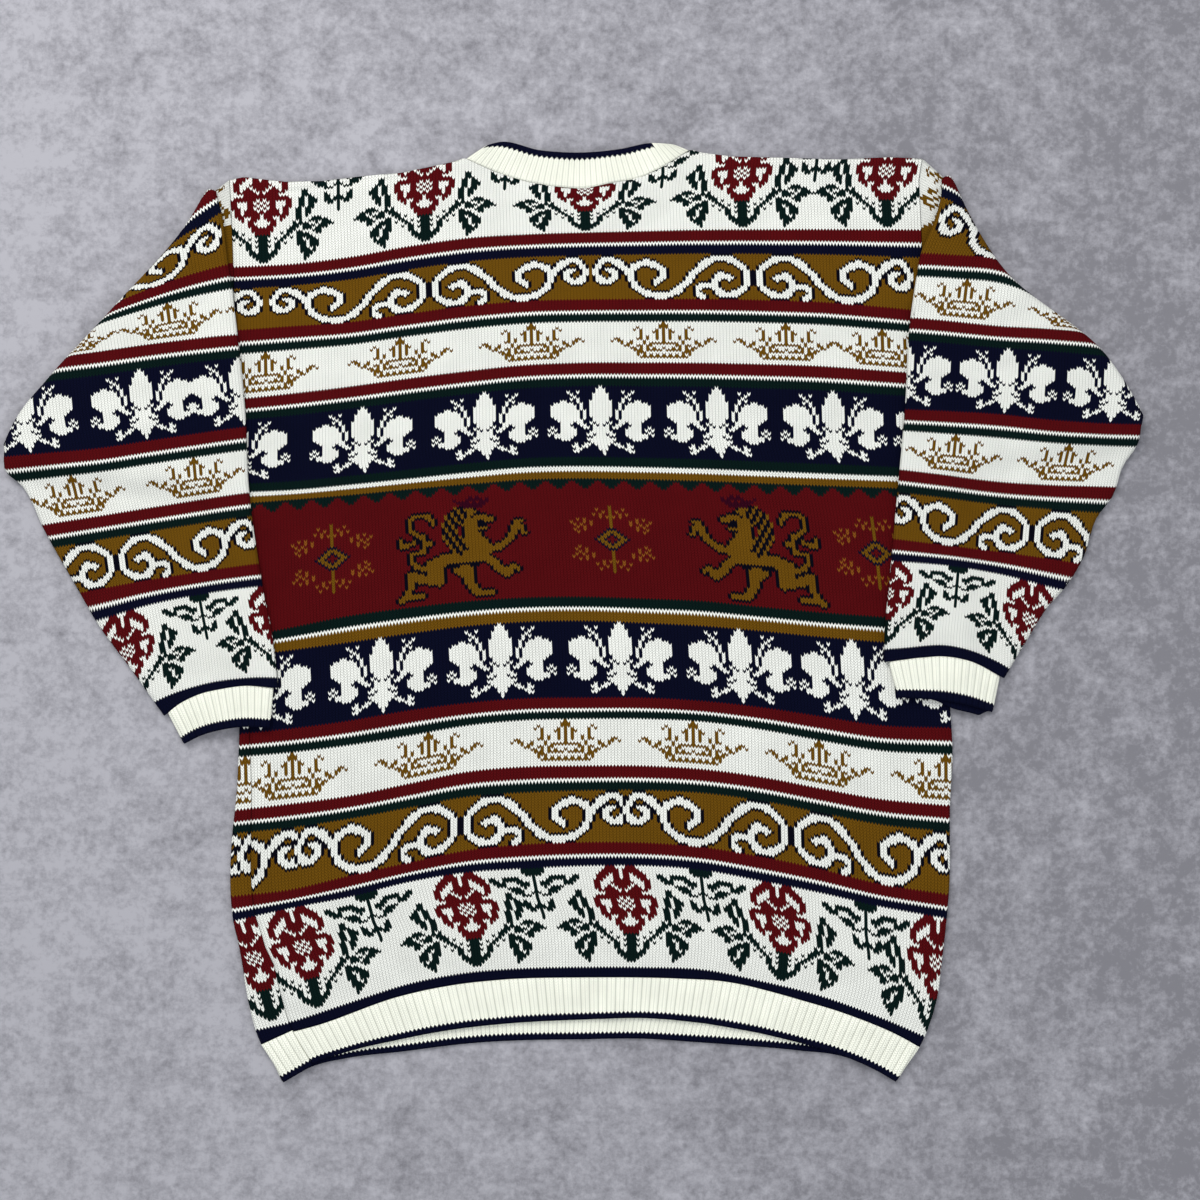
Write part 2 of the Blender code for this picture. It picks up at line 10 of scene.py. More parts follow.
import bmesh
import bpy
import numpy as np
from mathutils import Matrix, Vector

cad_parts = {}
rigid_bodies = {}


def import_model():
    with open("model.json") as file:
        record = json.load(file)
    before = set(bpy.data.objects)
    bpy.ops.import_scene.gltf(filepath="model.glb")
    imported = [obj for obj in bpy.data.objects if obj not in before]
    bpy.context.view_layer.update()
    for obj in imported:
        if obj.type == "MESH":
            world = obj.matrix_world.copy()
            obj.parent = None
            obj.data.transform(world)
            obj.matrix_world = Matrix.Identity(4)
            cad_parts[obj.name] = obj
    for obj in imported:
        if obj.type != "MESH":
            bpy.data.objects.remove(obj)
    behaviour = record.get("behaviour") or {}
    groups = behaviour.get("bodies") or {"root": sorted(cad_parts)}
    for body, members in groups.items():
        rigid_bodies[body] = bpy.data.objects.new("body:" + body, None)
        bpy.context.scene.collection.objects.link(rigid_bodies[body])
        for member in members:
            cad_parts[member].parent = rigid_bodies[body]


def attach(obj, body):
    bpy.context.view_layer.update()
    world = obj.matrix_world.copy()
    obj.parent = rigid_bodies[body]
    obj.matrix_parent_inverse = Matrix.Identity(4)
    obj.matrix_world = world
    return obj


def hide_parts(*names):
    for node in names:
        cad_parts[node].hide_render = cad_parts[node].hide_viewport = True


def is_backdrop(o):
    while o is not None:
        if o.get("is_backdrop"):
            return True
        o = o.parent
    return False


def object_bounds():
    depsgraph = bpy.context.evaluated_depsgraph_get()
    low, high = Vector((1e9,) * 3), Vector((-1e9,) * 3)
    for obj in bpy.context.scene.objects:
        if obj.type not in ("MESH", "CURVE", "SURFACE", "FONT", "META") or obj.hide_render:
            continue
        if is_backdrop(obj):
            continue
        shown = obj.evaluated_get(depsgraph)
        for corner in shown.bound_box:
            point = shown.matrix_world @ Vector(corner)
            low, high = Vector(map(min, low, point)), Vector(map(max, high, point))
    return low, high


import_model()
box_at_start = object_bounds()
print("box of the solids:", [tuple(round(v, 4) for v in corner) for corner in box_at_start])

# %% [markdown]
# All sizes are in millimetres and become metres when a mesh is made. +X runs across the sweater and
# +Y towards its neck. Where the cloth turns over an edge it goes round a half circle, and a folded
# sleeve lies on the body and drops to the floor beyond it. The edges and seams could be pulled into
# shape by hand, but as tables of points they are easy to read, to check and to change.

# %% sizes
MM = 0.001
WALL = 2.4  # thickness of the knitting
BETWEEN = 0.6  # space between two layers
SEAM = 0.3  # gap between pieces that are sewn together
SIDE_GAP = 0.04  # gap between the panels' walls at a side seam
SEAM_DROP = 0.36  # how far past its seam a tube starts
STACK = 2 * WALL + BETWEEN
HALF = STACK / 2
FRONT_LEVEL = WALL / 2
BACK_LEVEL = FRONT_LEVEL + WALL + BETWEEN
TURN = (WALL + BETWEEN) / 2  # radius of the cloth's middle where it turns over an edge
HALF_TURN = math.pi * TURN
QUARTER_TURN = HALF_TURN / 2
LIFT = STACK + BETWEEN  # how much higher a folded sleeve lies than its own root
FOLD = LIFT / 2
DROP_START, DROP_WIDTH = 8.0, 26.0  # where past the body a sleeve starts to drop, and over what width
RIB_RISE = 0.9  # height of a rib's ridges
NECK_BLEND = 8.0  # the shoulders' turn fades out over this width beside the neckline
LEAST_TAIL = 1.0  # least width of cloth between a turned edge and its side seam
CLOSING = 20.0  # height below the underarm over which the sides close


def table(columns, *rows):
    """A short table as one array for each named column."""
    return dict(zip(columns.split(), np.array(rows, float).T))


SHOULDERS = table(
    "x y",
    (-292, 368), (-280, 370.5), (-246, 366.5), (-215, 367), (-181, 371), (-147, 374), (-113, 381),
    (-91, 386), (99, 393), (112, 391), (135, 388), (176, 387), (227, 385.5), (270, 387.5), (297, 386),
)
NECK_BACK = table(
    "x y", (-91, 386), (-71, 377), (-45, 368), (-20, 363), (10, 361), (36, 366), (57, 370), (74, 378),
    (99, 393),
)
NECK_FRONT = table(
    "x y", (-91, 386), (-82, 352), (-58, 318), (-25, 298), (8, 293), (38, 298), (66, 316), (88, 350),
    (99, 393),
)
LEFT_SIDE = table(
    "y x",
    (-399, -247), (-363, -267), (-322, -278), (-302, -281), (-280, -285), (-263, -289), (-245, -291),
    (-189, -290), (-161, -287), (-103, -284), (11, -286), (119, -287),
)
RIGHT_SIDE = table(
    "y x",
    (-399, 275), (-367, 296), (-327, 310), (-297, 314), (-261, 318), (-237, 320), (-161, 321),
    (-118, 323), (-81, 321), (11, 318), (96, 310), (140, 303),
)
LEFT_ARMHOLE = table("y x", (119, -287), (181, -286.5), (306, -289), (351, -291), (368, -292))
RIGHT_ARMHOLE = table("y x", (140, 303), (223, 300), (327, 296), (367, 294), (386, 297))
BODY_SIDES = {-1: (LEFT_SIDE, LEFT_ARMHOLE), 1: (RIGHT_SIDE, RIGHT_ARMHOLE)}
SIDE_SEAM = table(
    "y left right",
    (-382, 30, 28), (-340, 29, 28), (-306, 27, 25), (-289, 22, 22), (-254, 19, 20), (-198, 17, 18),
    (-108, 9, 12), (11, 6, 8), (79, 4.5, 5), (119, 1, 1),
)
HEM_SEAM = table(
    "x y",
    (-267, -368), (-249, -360), (-215, -350), (-147, -326), (-105, -317), (-62, -312), (10, -310),
    (91, -311), (125, -313), (193, -329), (235, -342), (278, -360), (296, -370),
)
HEM_TIP = table(
    "x y",
    (-247, -400), (-224, -385), (-190, -373), (-147, -363), (-105, -355), (-62, -350), (10, -346),
    (65, -345), (108, -349), (150, -356), (193, -366), (235, -379), (261, -391), (276, -400),
)
HEM_SLIP = table(
    "x slip",
    (-247, 0), (-190, 6), (-147, 11), (-62, 15), (20, 17.5), (108, 17), (193, 7), (225, 1.5), (242, 0),
    (276, 0),
)
BAND_TIP_BACK = table(
    "x y", (-74, 397), (-62, 400), (-28, 393), (6, 391), (40, 394), (66, 399), (86, 398)
)
BAND_TIP_FRONT = table(
    "x y", (-74, 397), (-66, 370), (-40, 338), (-10, 324), (10, 322), (34, 325), (58, 340), (78, 370),
    (86, 398),
)
EDGES = {
    # The edges of the folded sleeves: -1 is the left one and 1 the right one.
    -1: dict(
        fold=table("x y", (-311, 360), (-326, 334), (-391, 259), (-447, 198), (-472, 167), (-485, 141)),
        arm_top=table(
            "x y", (-304, 356), (-298, 343), (-295, 324), (-292, 298), (-289, 281), (-286, 255),
            (-277, 164), (-275, 113), (-262, 19), (-254, -23), (-250, -62),
        ),
        underarm=table(
            "x y", (-481, 136), (-482, 117), (-470, 106), (-449, 66), (-417, 11), (-406, -8),
            (-377, -47), (-348, -87),
        ),
        cuff_seam=table("x y", (-250, -64), (-279, -62), (-300, -65), (-317, -69), (-334, -77), (-348, -88)),
        cuff_tip=table("x y", (-257, -98), (-279, -97), (-300, -100), (-317, -105), (-331, -112)),
    ),
    1: dict(
        fold=table("x y", (322, 371), (336, 340), (363, 296), (456, 215), (471, 193), (486, 166)),
        arm_top=table(
            "x y", (311, 362), (305, 335), (298, 316), (292, 302), (288, 280), (282, 232),
            (280, 181), (272, 79), (268, 28), (264, -20), (264, -42),
        ),
        underarm=table(
            "x y", (482, 160), (480, 140), (468, 121), (459, 96), (446, 79), (434, 45), (419, 21),
            (405, 6), (388, -20), (367, -54),
        ),
        cuff_seam=table("x y", (264, -42), (295, -38), (316, -37), (337, -41), (367, -56)),
        cuff_tip=table("x y", (276, -72), (295, -73), (316, -75), (337, -79), (357, -85)),
    ),
}
print("a folded sleeve's middle lies", LIFT + HALF, "mm above the floor where it rests on the body")

# %% [markdown]
# Rows of knitting arch across the body. The tables give the height of the rows at which a part of
# the pattern ends, at thirteen places across, and the rows between them are spread out evenly. The
# plan names each part's stripes from the neck down: a yarn's letter and its number of rows, or a
# band of motifs and its rows. The sleeves have tables and a plan of their own.

# %% rows of knitting
BODY_AT = np.array((-290, -240, -190, -140, -90, -40, 10, 60, 110, 160, 210, 260, 320), float)
BODY_LINES = np.array((
    (292.5, 295.0, 301.0, 310.1, 317.2, 320.6, 322.2, 323.3, 324.3, 324.5, 324.6, 324.4, 324.1),
    (238.8, 242.4, 245.9, 253.0, 259.6, 263.8, 265.1, 265.4, 265.6, 264.6, 262.9, 258.9, 252.9),
    (179.9, 185.1, 191.1, 198.0, 204.2, 209.4, 211.4, 211.5, 211.2, 210.2, 208.5, 205.0, 200.2),
    (101.1, 103.0, 107.5, 112.5, 117.8, 122.2, 123.2, 122.3, 121.0, 119.0, 117.0, 115.1, 112.9),
    (91.0, 95.0, 99.0, 103.8, 108.1, 111.8, 112.9, 112.1, 110.8, 108.8, 106.9, 105.2, 103.0),
    (-23.9, -13.9, -3.9, 3.0, 8.5, 11.7, 12.3, 10.8, 8.7, 3.7, -0.9, -4.6, -8.6),
    (-39.1, -32.9, -26.4, -19.0, -12.6, -8.9, -8.1, -9.9, -12.5, -16.7, -21.7, -25.9, -29.9),
    (-104.8, -99.8, -93.1, -84.4, -78.0, -74.1, -73.4, -73.5, -76.3, -81.7, -89.3, -97.0, -99.1),
    (-124.3, -120.1, -114.0, -106.1, -97.3, -92.6, -91.4, -91.4, -93.8, -100.6, -109.9, -118.5, -122.0),
    (-169.5, -163.7, -156.9, -146.6, -136.4, -132.1, -131.3, -131.3, -134.1, -140.7, -150.4, -159.4, -165.3),
    (-189.0, -184.0, -176.4, -167.2, -157.9, -154.2, -152.5, -152.2, -154.5, -161.1, -171.1, -181.2, -187.4),
    (-242.6, -236.8, -224.8, -213.8, -203.2, -198.0, -196.2, -196.7, -200.5, -208.7, -219.1, -231.6, -241.1),
    (-263.8, -252.2, -242.8, -230.2, -222.0, -218.8, -216.5, -216.3, -220.1, -229.3, -239.3, -250.8, -261.6),
    (-360.6, -349.0, -332.7, -316.8, -307.2, -303.4, -302.4, -302.6, -304.5, -314.3, -326.8, -344.8, -371.0),
))
BODY_PLAN = (
    "rose:46", "R5 I1 N4 scroll:20", "R5 I1 G3 crown:18", "R5 I1 G3 lily:30 G4", "I2 O3", "lion:48",
    "G4 I1 O4", "lily:30", "R5 I1 G3", "crown:18", "R5 I1 G3", "scroll:20", "R5 I1 N3", "rose:39", "N4",
)
TOP_ROWS_HIGH = np.array((100, 100, 99, 97, 90, 76, 70, 76, 88, 96, 98, 98, 98), float)

SLEEVE_AT = {
    -1: np.array((-479, -445, -402, -360, -317, -275, -232), float),
    1: np.array((235, 278, 320, 363, 405, 448, 490), float),
}
SLEEVE_LINES = {
    -1: np.array((
        (262, 288, 312, 343, 375, 403, 424), (248, 270, 292, 320.9, 352.3, 380.4, 401.6),
        (235, 254, 275, 300, 326, 350.6, 363.4), (222, 238, 256.3, 273.3, 287.7, 297.9, 306.4),
        (209.5, 215.0, 220.6, 226.5, 231.6, 235.4, 238.4), (131.3, 134.3, 138.1, 144.5, 150.9, 156.8, 161.9),
        (68.4, 74.4, 81.2, 88.0, 94.8, 100.7, 105.8), (3.8, 10.6, 19.1, 26.8, 33.6, 39.5, 44.6),
        (-159.4, -142.4, -112.6, -79.5, -62.5, -56.1, -56.5),
    )),
    1: np.array((
        (428, 412, 392, 366, 340, 314, 293), (406, 390, 369, 344, 318, 292, 270),
        (378, 364, 348, 327, 300, 274, 252), (304.7, 303.9, 302.2, 297.9, 277.5, 257.1, 240.1),
        (252.9, 249.9, 246.1, 241.8, 239.7, 235.9, 229.9), (173.0, 171.3, 169.6, 167.0, 162.3, 159.4, 158.5),
        (125.4, 120.3, 115.2, 110.1, 107.5, 106.2, 105.0), (65.9, 60.8, 55.7, 50.6, 44.6, 37.8, 31.0),
        (-34.4, -31.0, -28.9, -43.8, -74.4, -108.4, -142.4),
    )),
}
SLEEVE_PLAN = (
    "crown:10", "R5 I1 N4", "scroll:20", "R5 I1 G3 crown:18", "R5 I1 G3 lily:30", "R5 I1 G3 crown:18",
    "R5 I1 G3 scroll:20", "R5 I1 N3 rose:39", "N4",
)
print("pattern lines of the body and of a sleeve:", len(BODY_LINES), len(SLEEVE_LINES[1]))

# %% [markdown]
# The pattern is knitted in, one stitch at a time, so it is worked out as a knitter's chart: a grid
# with one letter for each stitch and a row for each row of knitting. Small ornaments that repeat
# are typed as half charts, whose last column is the middle, because they are the same on both
# sides. They are this script's own drawings of traditional ornaments.

# %% charts
MOTIFS = {}


def whole(half, mirrored=True):
    """A chart as an array of letters, its bottom row first. A half chart is mirrored."""
    rows = np.array([list(line) for line in half.split()])[::-1]
    return np.hstack([rows, rows[:, -2::-1]]) if mirrored else rows


def add_motif(name, half):
    """Keeps the whole chart of an ornament that is given as a half chart."""
    MOTIFS[name] = whole(half)
    rows, stitches = MOTIFS[name].shape
    print(f"{name}: {rows} rows of {stitches} stitches")


print("a half chart of 17 columns makes a chart of", whole("." * 17).shape[1])

# %% [markdown]
# A crown with a cross on top and a lily stand in rows round the body and round the sleeves.

# %% crown and lily
add_motif("crown", """
................O
...............OO
........O......OO
.......O.O....O.O
.........O...OO.O
.........O....O.O
.........O.O..O.O
.OO.....OO.O..O.O
O.OO..O...O.....O
...O.OO...O.OOOOO
....OO..OO.OO....
......OO.O.O.O..O
.......OOO.OOOOO.
........OOO......
........O.O.O.O.O
.........OOOOOOOO
""")
add_motif("lily", """
.................I
................II
.......I..I.....II
........I......III
.........I.....III
........I.I....III
.....II...I...IIII
...IIIIII..I..IIII
..IIIIIIII.I..IIII
..IIIIIIII.I..IIII
..IIIIIIIII.I.IIII
..IIIIIIIII.I.IIII
..IIIIIIIII.I.IIII
...IIIIIIII.I..III
....IIIIIIII...III
.....IIII.II..I.II
.....III...II..I.I
..I..IIII...II.III
.I.I.IIIII.....III
..I..IIIII....IIII
.I.IIIIIII...II.II
...IIIIII......III
.....III.....IIIII
..............IIII
.........I..II.III
........II.II...II
.........II.....II
........II.......I
.................I
""")

# %% [markdown]
# A rose stands on its leafy stem, and a sprig fills the space between two roses.

# %% rose and sprig
add_motif("rose", """
..................RRR..
.................RRRRR.
................RRRRRR.
...............RRRR.RR.
...............RRR..RR.
..............RRR...RRR
..............RR...RRRR
..............RR..R.RRR
..............RR.RRR.RR
........GG.....RRRRRR.R
........GG.......RRRRRR
.......GGG....RRRRRRRRR
......GG.GG..RRRRRRRR.R
.....GGG.GG..RR...RR.R.
.....GGG.GG..RR...RRR.R
......GG.GG..RRR..RR.R.
......GGG.GG..RR.RRRR.R
.......GG.GG..RR.RRRRRR
.......GG.GG..RRRRRRRR.
........G.GG...RR..RRR.
....GGG...GG....R.RRR..
..GGGGGG..G.G.....RR...
.GGG.G..GGGGG.....RRR..
GGGGG.GGGG.GGG.....RRRR
..GGGG.GGG..GGG....RRRR
....GGG...GG.GG.G...RRR
....GG..GGGG..GG....GGG
.......GGGGG.G.GG.G..GG
......GGG.GG....GG..GGG
.....GGG.GGG...G.GG..GG
.....GGG.GGG.....GG.GGG
.....GGG.GG......GG..GG
......G.GGG.......GG.GG
......GGGGG.......GGGGG
.......GGG.........GGGG
........GG..........GGG
.........G...........GG
""")
add_motif("sprig", """
..........GGGG
..........GGGG
...........GGG
GG..GGGGG....G
GGG.GGGGGG...G
.GGGG...GGGG.G
..GGG....GGG.G
.....GGGG.G..G
......GGGG...G
.......GGG..GG
.........GGG.G
.............G
.........G...G
.........GG..G
.........GG.GG
.........GGGGG
..........GG.G
.............G
.............G
.............G
""")

# %% [markdown]
# Stars stand between the lions, and a band of small points hangs from the top of their stripe. The
# points aren't mirrored, because they repeat as they are.

# %% star and points
add_motif("star", """
............O
........D...O
..........D.O
.......D.D..O
.........D.DO
..D.D.......O
D...D.D.....O
.D.D..D.....O
..D.D.......O
.D..D......NN
..D.......NOO
.........NOON
........NOON.
.......NOON..
........NOON.
.........NOON
..D.......NOO
.D..D......NN
..D.D.......O
.D.D..D.....O
D...D.D.....O
..D.D.......O
.........D.DO
.......D.D..O
..........D.O
........D...O
............O
""")
DAGS = """
GGGGGGGG
GGG..GGG
GG....GG
G......G
"""
print("points:", DAGS.split()[0].count("G"), "stitches apart")

# %% [markdown]
# The scrolls and the lions are too large to type out. They are drawn with strokes of yarn: every
# stitch that lies within a stroke's radius of a curve takes its colour, and the stitches just
# outside take the dark yarn of the outline. Rows are closer together than stitches, so distances
# are measured in stitch widths with the rows scaled to fit.

# %% strokes
ROW_SHARE = 0.73


def curve(points, steps=14):
    """A smooth curve through points."""
    p = np.array(points, float)
    p = np.vstack([2 * p[0] - p[1], p, 2 * p[-1] - p[-2]])
    t = np.linspace(0, 1, steps)[:, None]
    pieces = [
        0.5 * (2 * b + (c - a) * t + (2 * a - 5 * b + 4 * c - d) * t**2 + (3 * b - a - 3 * c + d) * t**3)
        for a, b, c, d in zip(p, p[1:], p[2:], p[3:])
    ]
    return np.vstack(pieces)


def distance(shape, line):
    """For each stitch of a chart, its distance from a line of points (stitch, row)."""
    rows, columns = np.indices(shape)
    far = np.full(shape, np.inf)
    for x, y in line:
        far = np.minimum(far, np.hypot(columns + 0.5 - x, (rows + 0.5 - y) * ROW_SHARE))
    return far


def outlined(chart, inside, letter, edge="K"):
    """Colours the stitches inside, and gives the empty ones beside them the outline's colour."""
    grown = inside.copy()
    grown[1:] |= inside[:-1]
    grown[:-1] |= inside[1:]
    grown[:, 1:] |= inside[:, :-1]
    grown[:, :-1] |= inside[:, 1:]
    chart[grown & (chart == ".")] = edge
    chart[inside] = letter


def stroked(shape, strokes):
    """The stitches within the radius of a stroke, for strokes given as (radius, points)."""
    inside = np.zeros(shape, bool)
    for radius, points in strokes:
        inside |= distance(shape, curve(points)) < radius
    return inside


# %% [markdown]
# Half of the scroll is one long stroke, which curls up at both ends, with two short ones that
# branch off it. Its other half is the mirror image.

# %% scroll
SCROLL_SIZE = (20, 50)
SCROLL_STROKES = (
    # radius, points (stitch, row)
    (0.95, ((5.4, 13.2), (6.6, 12.4), (6.8, 10.0), (4.6, 8.0), (2.1, 9.3), (1.3, 12.6), (2.9, 16.6),
            (5.6, 18.0), (9.1, 15.4), (11.7, 11.0), (13.1, 6.4), (15.9, 3.0), (20.2, 1.6),
            (24.8, 2.6), (28.5, 6.4), (32.1, 12.0), (36.1, 16.6), (40.2, 18.2), (44.6, 16.6),
            (47.7, 12.6), (48.1, 7.6), (45.9, 3.6), (41.9, 2.0), (38.9, 3.6), (38.1, 7.4),
            (40.0, 10.4), (42.7, 9.4))),
    (1.0, ((11.3, 11.6), (13.9, 15.2), (17.7, 16.2), (21.3, 13.8), (22.1, 10.4), (19.8, 7.8))),
    (0.75, ((38.7, 4.0), (35.4, 6.2), (32.9, 5.0), (32.3, 2.6), (34.1, 1.0))),
)


def scroll():
    """Half of the scroll, from the small spirals at its left to the large ones at its right."""
    chart = np.full(SCROLL_SIZE, ".")
    outlined(chart, stroked(SCROLL_SIZE, SCROLL_STROKES), "I")
    return chart


half_scroll = scroll()
MOTIFS["scroll"] = np.hstack([half_scroll, half_scroll[:, ::-1]])
print("scroll:", MOTIFS["scroll"].shape)

# %% [markdown]
# The lion is drawn limb by limb with thicker and thinner strokes. Its mane is knitted in locks of
# two yarns, and the lion at the right is its mirror image.

# %% lions
LION_SIZE = (44, 44)
LION_STROKES = (
    # radius, points (stitch, row): head, snout, jaw and neck
    (2.1, ((24.6, 35.0), (25.4, 34.8))),
    (0.95, ((25.9, 34.6), (30.7, 33.0))),
    (0.6, ((26.7, 30.0), (29.0, 29.2))),
    (2.1, ((24.5, 32.8), (25.0, 26.1))),
    # chest and body
    (2.5, ((25.9, 25.4), (28.1, 21.6))),
    (2.9, ((27.5, 19.8), (26.5, 19.4))),
    (2.4, ((25.2, 19.2), (21.5, 18.6))),
    (1.9, ((19.9, 18.2), (15.6, 17.0), (12.6, 15.6))),
    # the fore legs, their paws and claws
    (1.0, ((30.0, 20.6), (33.8, 22.0), (36.9, 25.2), (38.7, 28.6))),
    (1.0, ((38.4, 29.6), (39.1, 30.4))),
    (0.55, ((39.3, 29.8), (40.6, 28.4), (41.0, 26.2))),
    (0.55, ((38.7, 31.0), (40.3, 31.6))),
    (1.2, ((29.6, 17.4), (32.3, 13.6), (34.9, 10.6))),
    (1.0, ((35.3, 10.4), (36.0, 11.2))),
    (0.55, ((35.7, 12.2), (37.2, 13.2), (38.2, 12.0))),
    # the hind legs and their feet
    (2.2, ((12.8, 14.8), (14.2, 10.4))),
    (1.3, ((14.1, 9.4), (9.2, 11.0), (6.2, 12.4))),
    (1.05, ((5.7, 12.4), (5.7, 8.0), (4.7, 4.8))),
    (0.75, ((3.0, 3.2), (5.2, 4.2), (9.5, 3.6))),
    (1.3, ((21.6, 13.4), (24.2, 13.0))),
    (1.3, ((20.6, 12.6), (23.5, 9.6), (23.9, 7.0), (25.4, 4.4))),
    (0.75, ((25.2, 3.4), (30.1, 3.0))),
    # the tail
    (0.62, ((10.9, 14.6), (7.4, 16.6), (6.6, 20.9), (9.9, 21.9), (10.8, 24.8), (10.1, 27.9), (7.2, 30.0),
            (6.3, 33.2), (7.6, 36.0), (10.5, 36.4), (12.8, 35.2), (13.2, 32.4))),
    (0.6, ((3.2, 27.5), (4.0, 24.9), (7.6, 25.8))),
    (0.5, ((10.7, 25.0), (12.8, 25.2))),
)
LION_MANE = ((2.5, ((21.9, 36.0), (19.3, 33.4), (18.6, 29.8), (18.9, 26.0), (21.2, 22.6))),)
LION_BELLY = ((0.5, ((17.6, 15.2), (21.0, 15.4), (26.2, 15.0))),)
LION_FACE = ((25, 34), (26, 35), (28, 32), (27, 30))
LION_CROWN_AT = (38, 20)
LION_CROWN = """
.....P.P...
P...PPPPP.P
.PPPP.P.PPP
..PPPPPPPP.
...PPPPPP..
"""


def lion():
    """A lion on its hind legs that faces right, with a crown just above its head."""
    chart = np.full(LION_SIZE, ".")
    outlined(chart, stroked(LION_SIZE, LION_STROKES), "O")
    mane = stroked(LION_SIZE, LION_MANE)
    rows, columns = np.indices(LION_SIZE)
    locks = (rows + 2 * columns) % 5 > 2
    chart[mane] = np.where(locks, "O", "K")[mane]
    chart[stroked(LION_SIZE, LION_BELLY)] = "K"
    for column, row in LION_FACE:
        chart[row, column] = "K"
    crown = whole(LION_CROWN, mirrored=False)
    row, column = LION_CROWN_AT
    place = chart[row:row + crown.shape[0], column:column + crown.shape[1]]
    place[crown != "."] = crown[crown != "."]
    return chart


MOTIFS["lion"] = lion()
MOTIFS["lion_left"] = MOTIFS["lion"][:, ::-1]
print("lion:", MOTIFS["lion"].shape)

# %% [markdown]
# Curves through the tables are smooth ones. A row of knitting is followed as a line across the
# sweater, and the cloth turns over an edge round a half circle, up or down.

# %% curves and turns
UP = np.array((0.0, 0.0, 1.0))


def smooth(at, xs, ys):
    """The smooth curve through the points (xs, ys), read at the values `at`."""
    slope = np.gradient(ys, xs)
    i = np.clip(np.searchsorted(xs, at) - 1, 0, len(xs) - 2)
    step = xs[i + 1] - xs[i]
    t = np.clip((at - xs[i]) / step, 0, 1)
    start = (1 + 2 * t) * (1 - t) ** 2 * ys[i] + t * (1 - t) ** 2 * step * slope[i]
    end = t * t * (3 - 2 * t) * ys[i + 1] - t * t * (1 - t) * step * slope[i + 1]
    return start + end


def ease(t):
    """0 to 1 with a soft start and a soft end."""
    t = np.clip(t, 0, 1)
    return t * t * (3 - 2 * t)


def run_along(points):
    """Distance along a line of points, from its start to each point."""
    return np.concatenate([[0], np.cumsum(np.hypot(*np.diff(points, axis=0).T[:2]))])


def resampled(line, shares, trim=0.0):
    """Points of a line of straight pieces, in 2-D or 3-D, at shares of its length in plan."""
    run = run_along(line)
    at = trim + np.asarray(shares) * (run[-1] - 2 * trim)
    return np.column_stack([np.interp(at, run, values) for values in line.T])


def path(edge, shares, trim=0.0):
    """Points of a curve given by a table, at shares of what is left once its ends are trimmed."""
    points = np.column_stack([edge["x"], edge["y"]])
    run = run_along(points)
    at = trim + np.asarray(shares) * (run[-1] - 2 * trim)
    return np.column_stack([smooth(at, run, points[:, 0]), smooth(at, run, points[:, 1])])


def unit(vectors):
    """Vectors brought to length 1."""
    return vectors / np.linalg.norm(vectors, axis=-1, keepdims=True)


def beside(line, distance):
    """A line in plan moved to its own left by a distance."""
    along = unit(np.gradient(line, axis=0))
    return line + distance * np.column_stack([-along[:, 1], along[:, 0]])


def turned(beyond, offset, up):
    """How far out and how far up a point goes where cloth turns over an edge."""
    angle = np.clip(beyond / TURN, 0, math.pi)
    tail = np.maximum(beyond - HALF_TURN, 0)
    radius = TURN - up * offset
    return radius * np.sin(angle) - tail, up * (TURN - radius * np.cos(angle))


print("cloth that turns over an edge takes", round(HALF_TURN, 2), "mm to do so")

# %% [markdown]
# Cloth that lies on a floor is never quite flat. Broad, soft swells stand for the places where it
# doesn't quite settle, each with its own length, width and direction. The yarns that cross behind
# a pattern pull some places in, which a few dozen faint waves stand for. Brushes could sculpt them
# too, but formulas can be put on every layer of the cloth alike.

# %% swells
BODY_SWELLS = table(
    "x y long across turn high",
    (-60, 235, 110, 22, 4, 1.3), (110, 60, 90, 30, -8, 1.5), (-110, -60, 80, 28, 20, 1.4),
    (150, -150, 80, 26, -24, 1.6), (10, -190, 110, 24, 6, 1.2), (0, 130, 80, 26, 70, 1.1),
    (-120, 140, 70, 18, 35, 1.0), (60, -20, 60, 12, 40, 0.8), (-30, -240, 60, 14, -30, 0.9),
    (200, -250, 50, 16, 30, 0.9), (-190, -200, 60, 14, 60, 0.8), (90, 190, 60, 12, -50, 0.7),
)
SLEEVE_SWELLS = table(
    "x y long across turn high",
    (-380, 150, 70, 14, 30, 1.4), (-330, 60, 60, 16, 16, 1.2), (-330, -10, 50, 12, 18, 1.0),
    (395, 175, 70, 14, -28, 1.4), (350, 90, 60, 16, -14, 1.2), (330, 0, 50, 12, -16, 1.0),
)
SLEEVE_CREASES = table(
    "x y long across turn high",
    (-300, 230, 40, 8, -55, 1.1), (-425, 120, 36, 7, 50, 1.3), (-400, 60, 30, 7, 64, 1.2),
    (-290, 120, 46, 9, -70, 1.0), (-350, -30, 30, 6, 58, 1.1), (-300, -20, 26, 7, 80, 1.0),
    (440, 140, 36, 8, -52, 1.2), (410, 60, 30, 7, -60, 1.1), (300, 210, 44, 8, 62, 1.0),
    (360, 0, 28, 7, -62, 1.2), (295, 60, 36, 8, 74, 0.9), (380, 230, 34, 8, 30, 0.9),
)
WAVES = 36
WAVE_LENGTHS = (14, 60)
WAVE_RISE = 0.26
rng = np.random.default_rng(7)
wave_angle = rng.uniform(0, math.tau, WAVES)
wave_phase = rng.uniform(0, math.tau, WAVES)
wave_number = math.tau / rng.uniform(*WAVE_LENGTHS, WAVES)


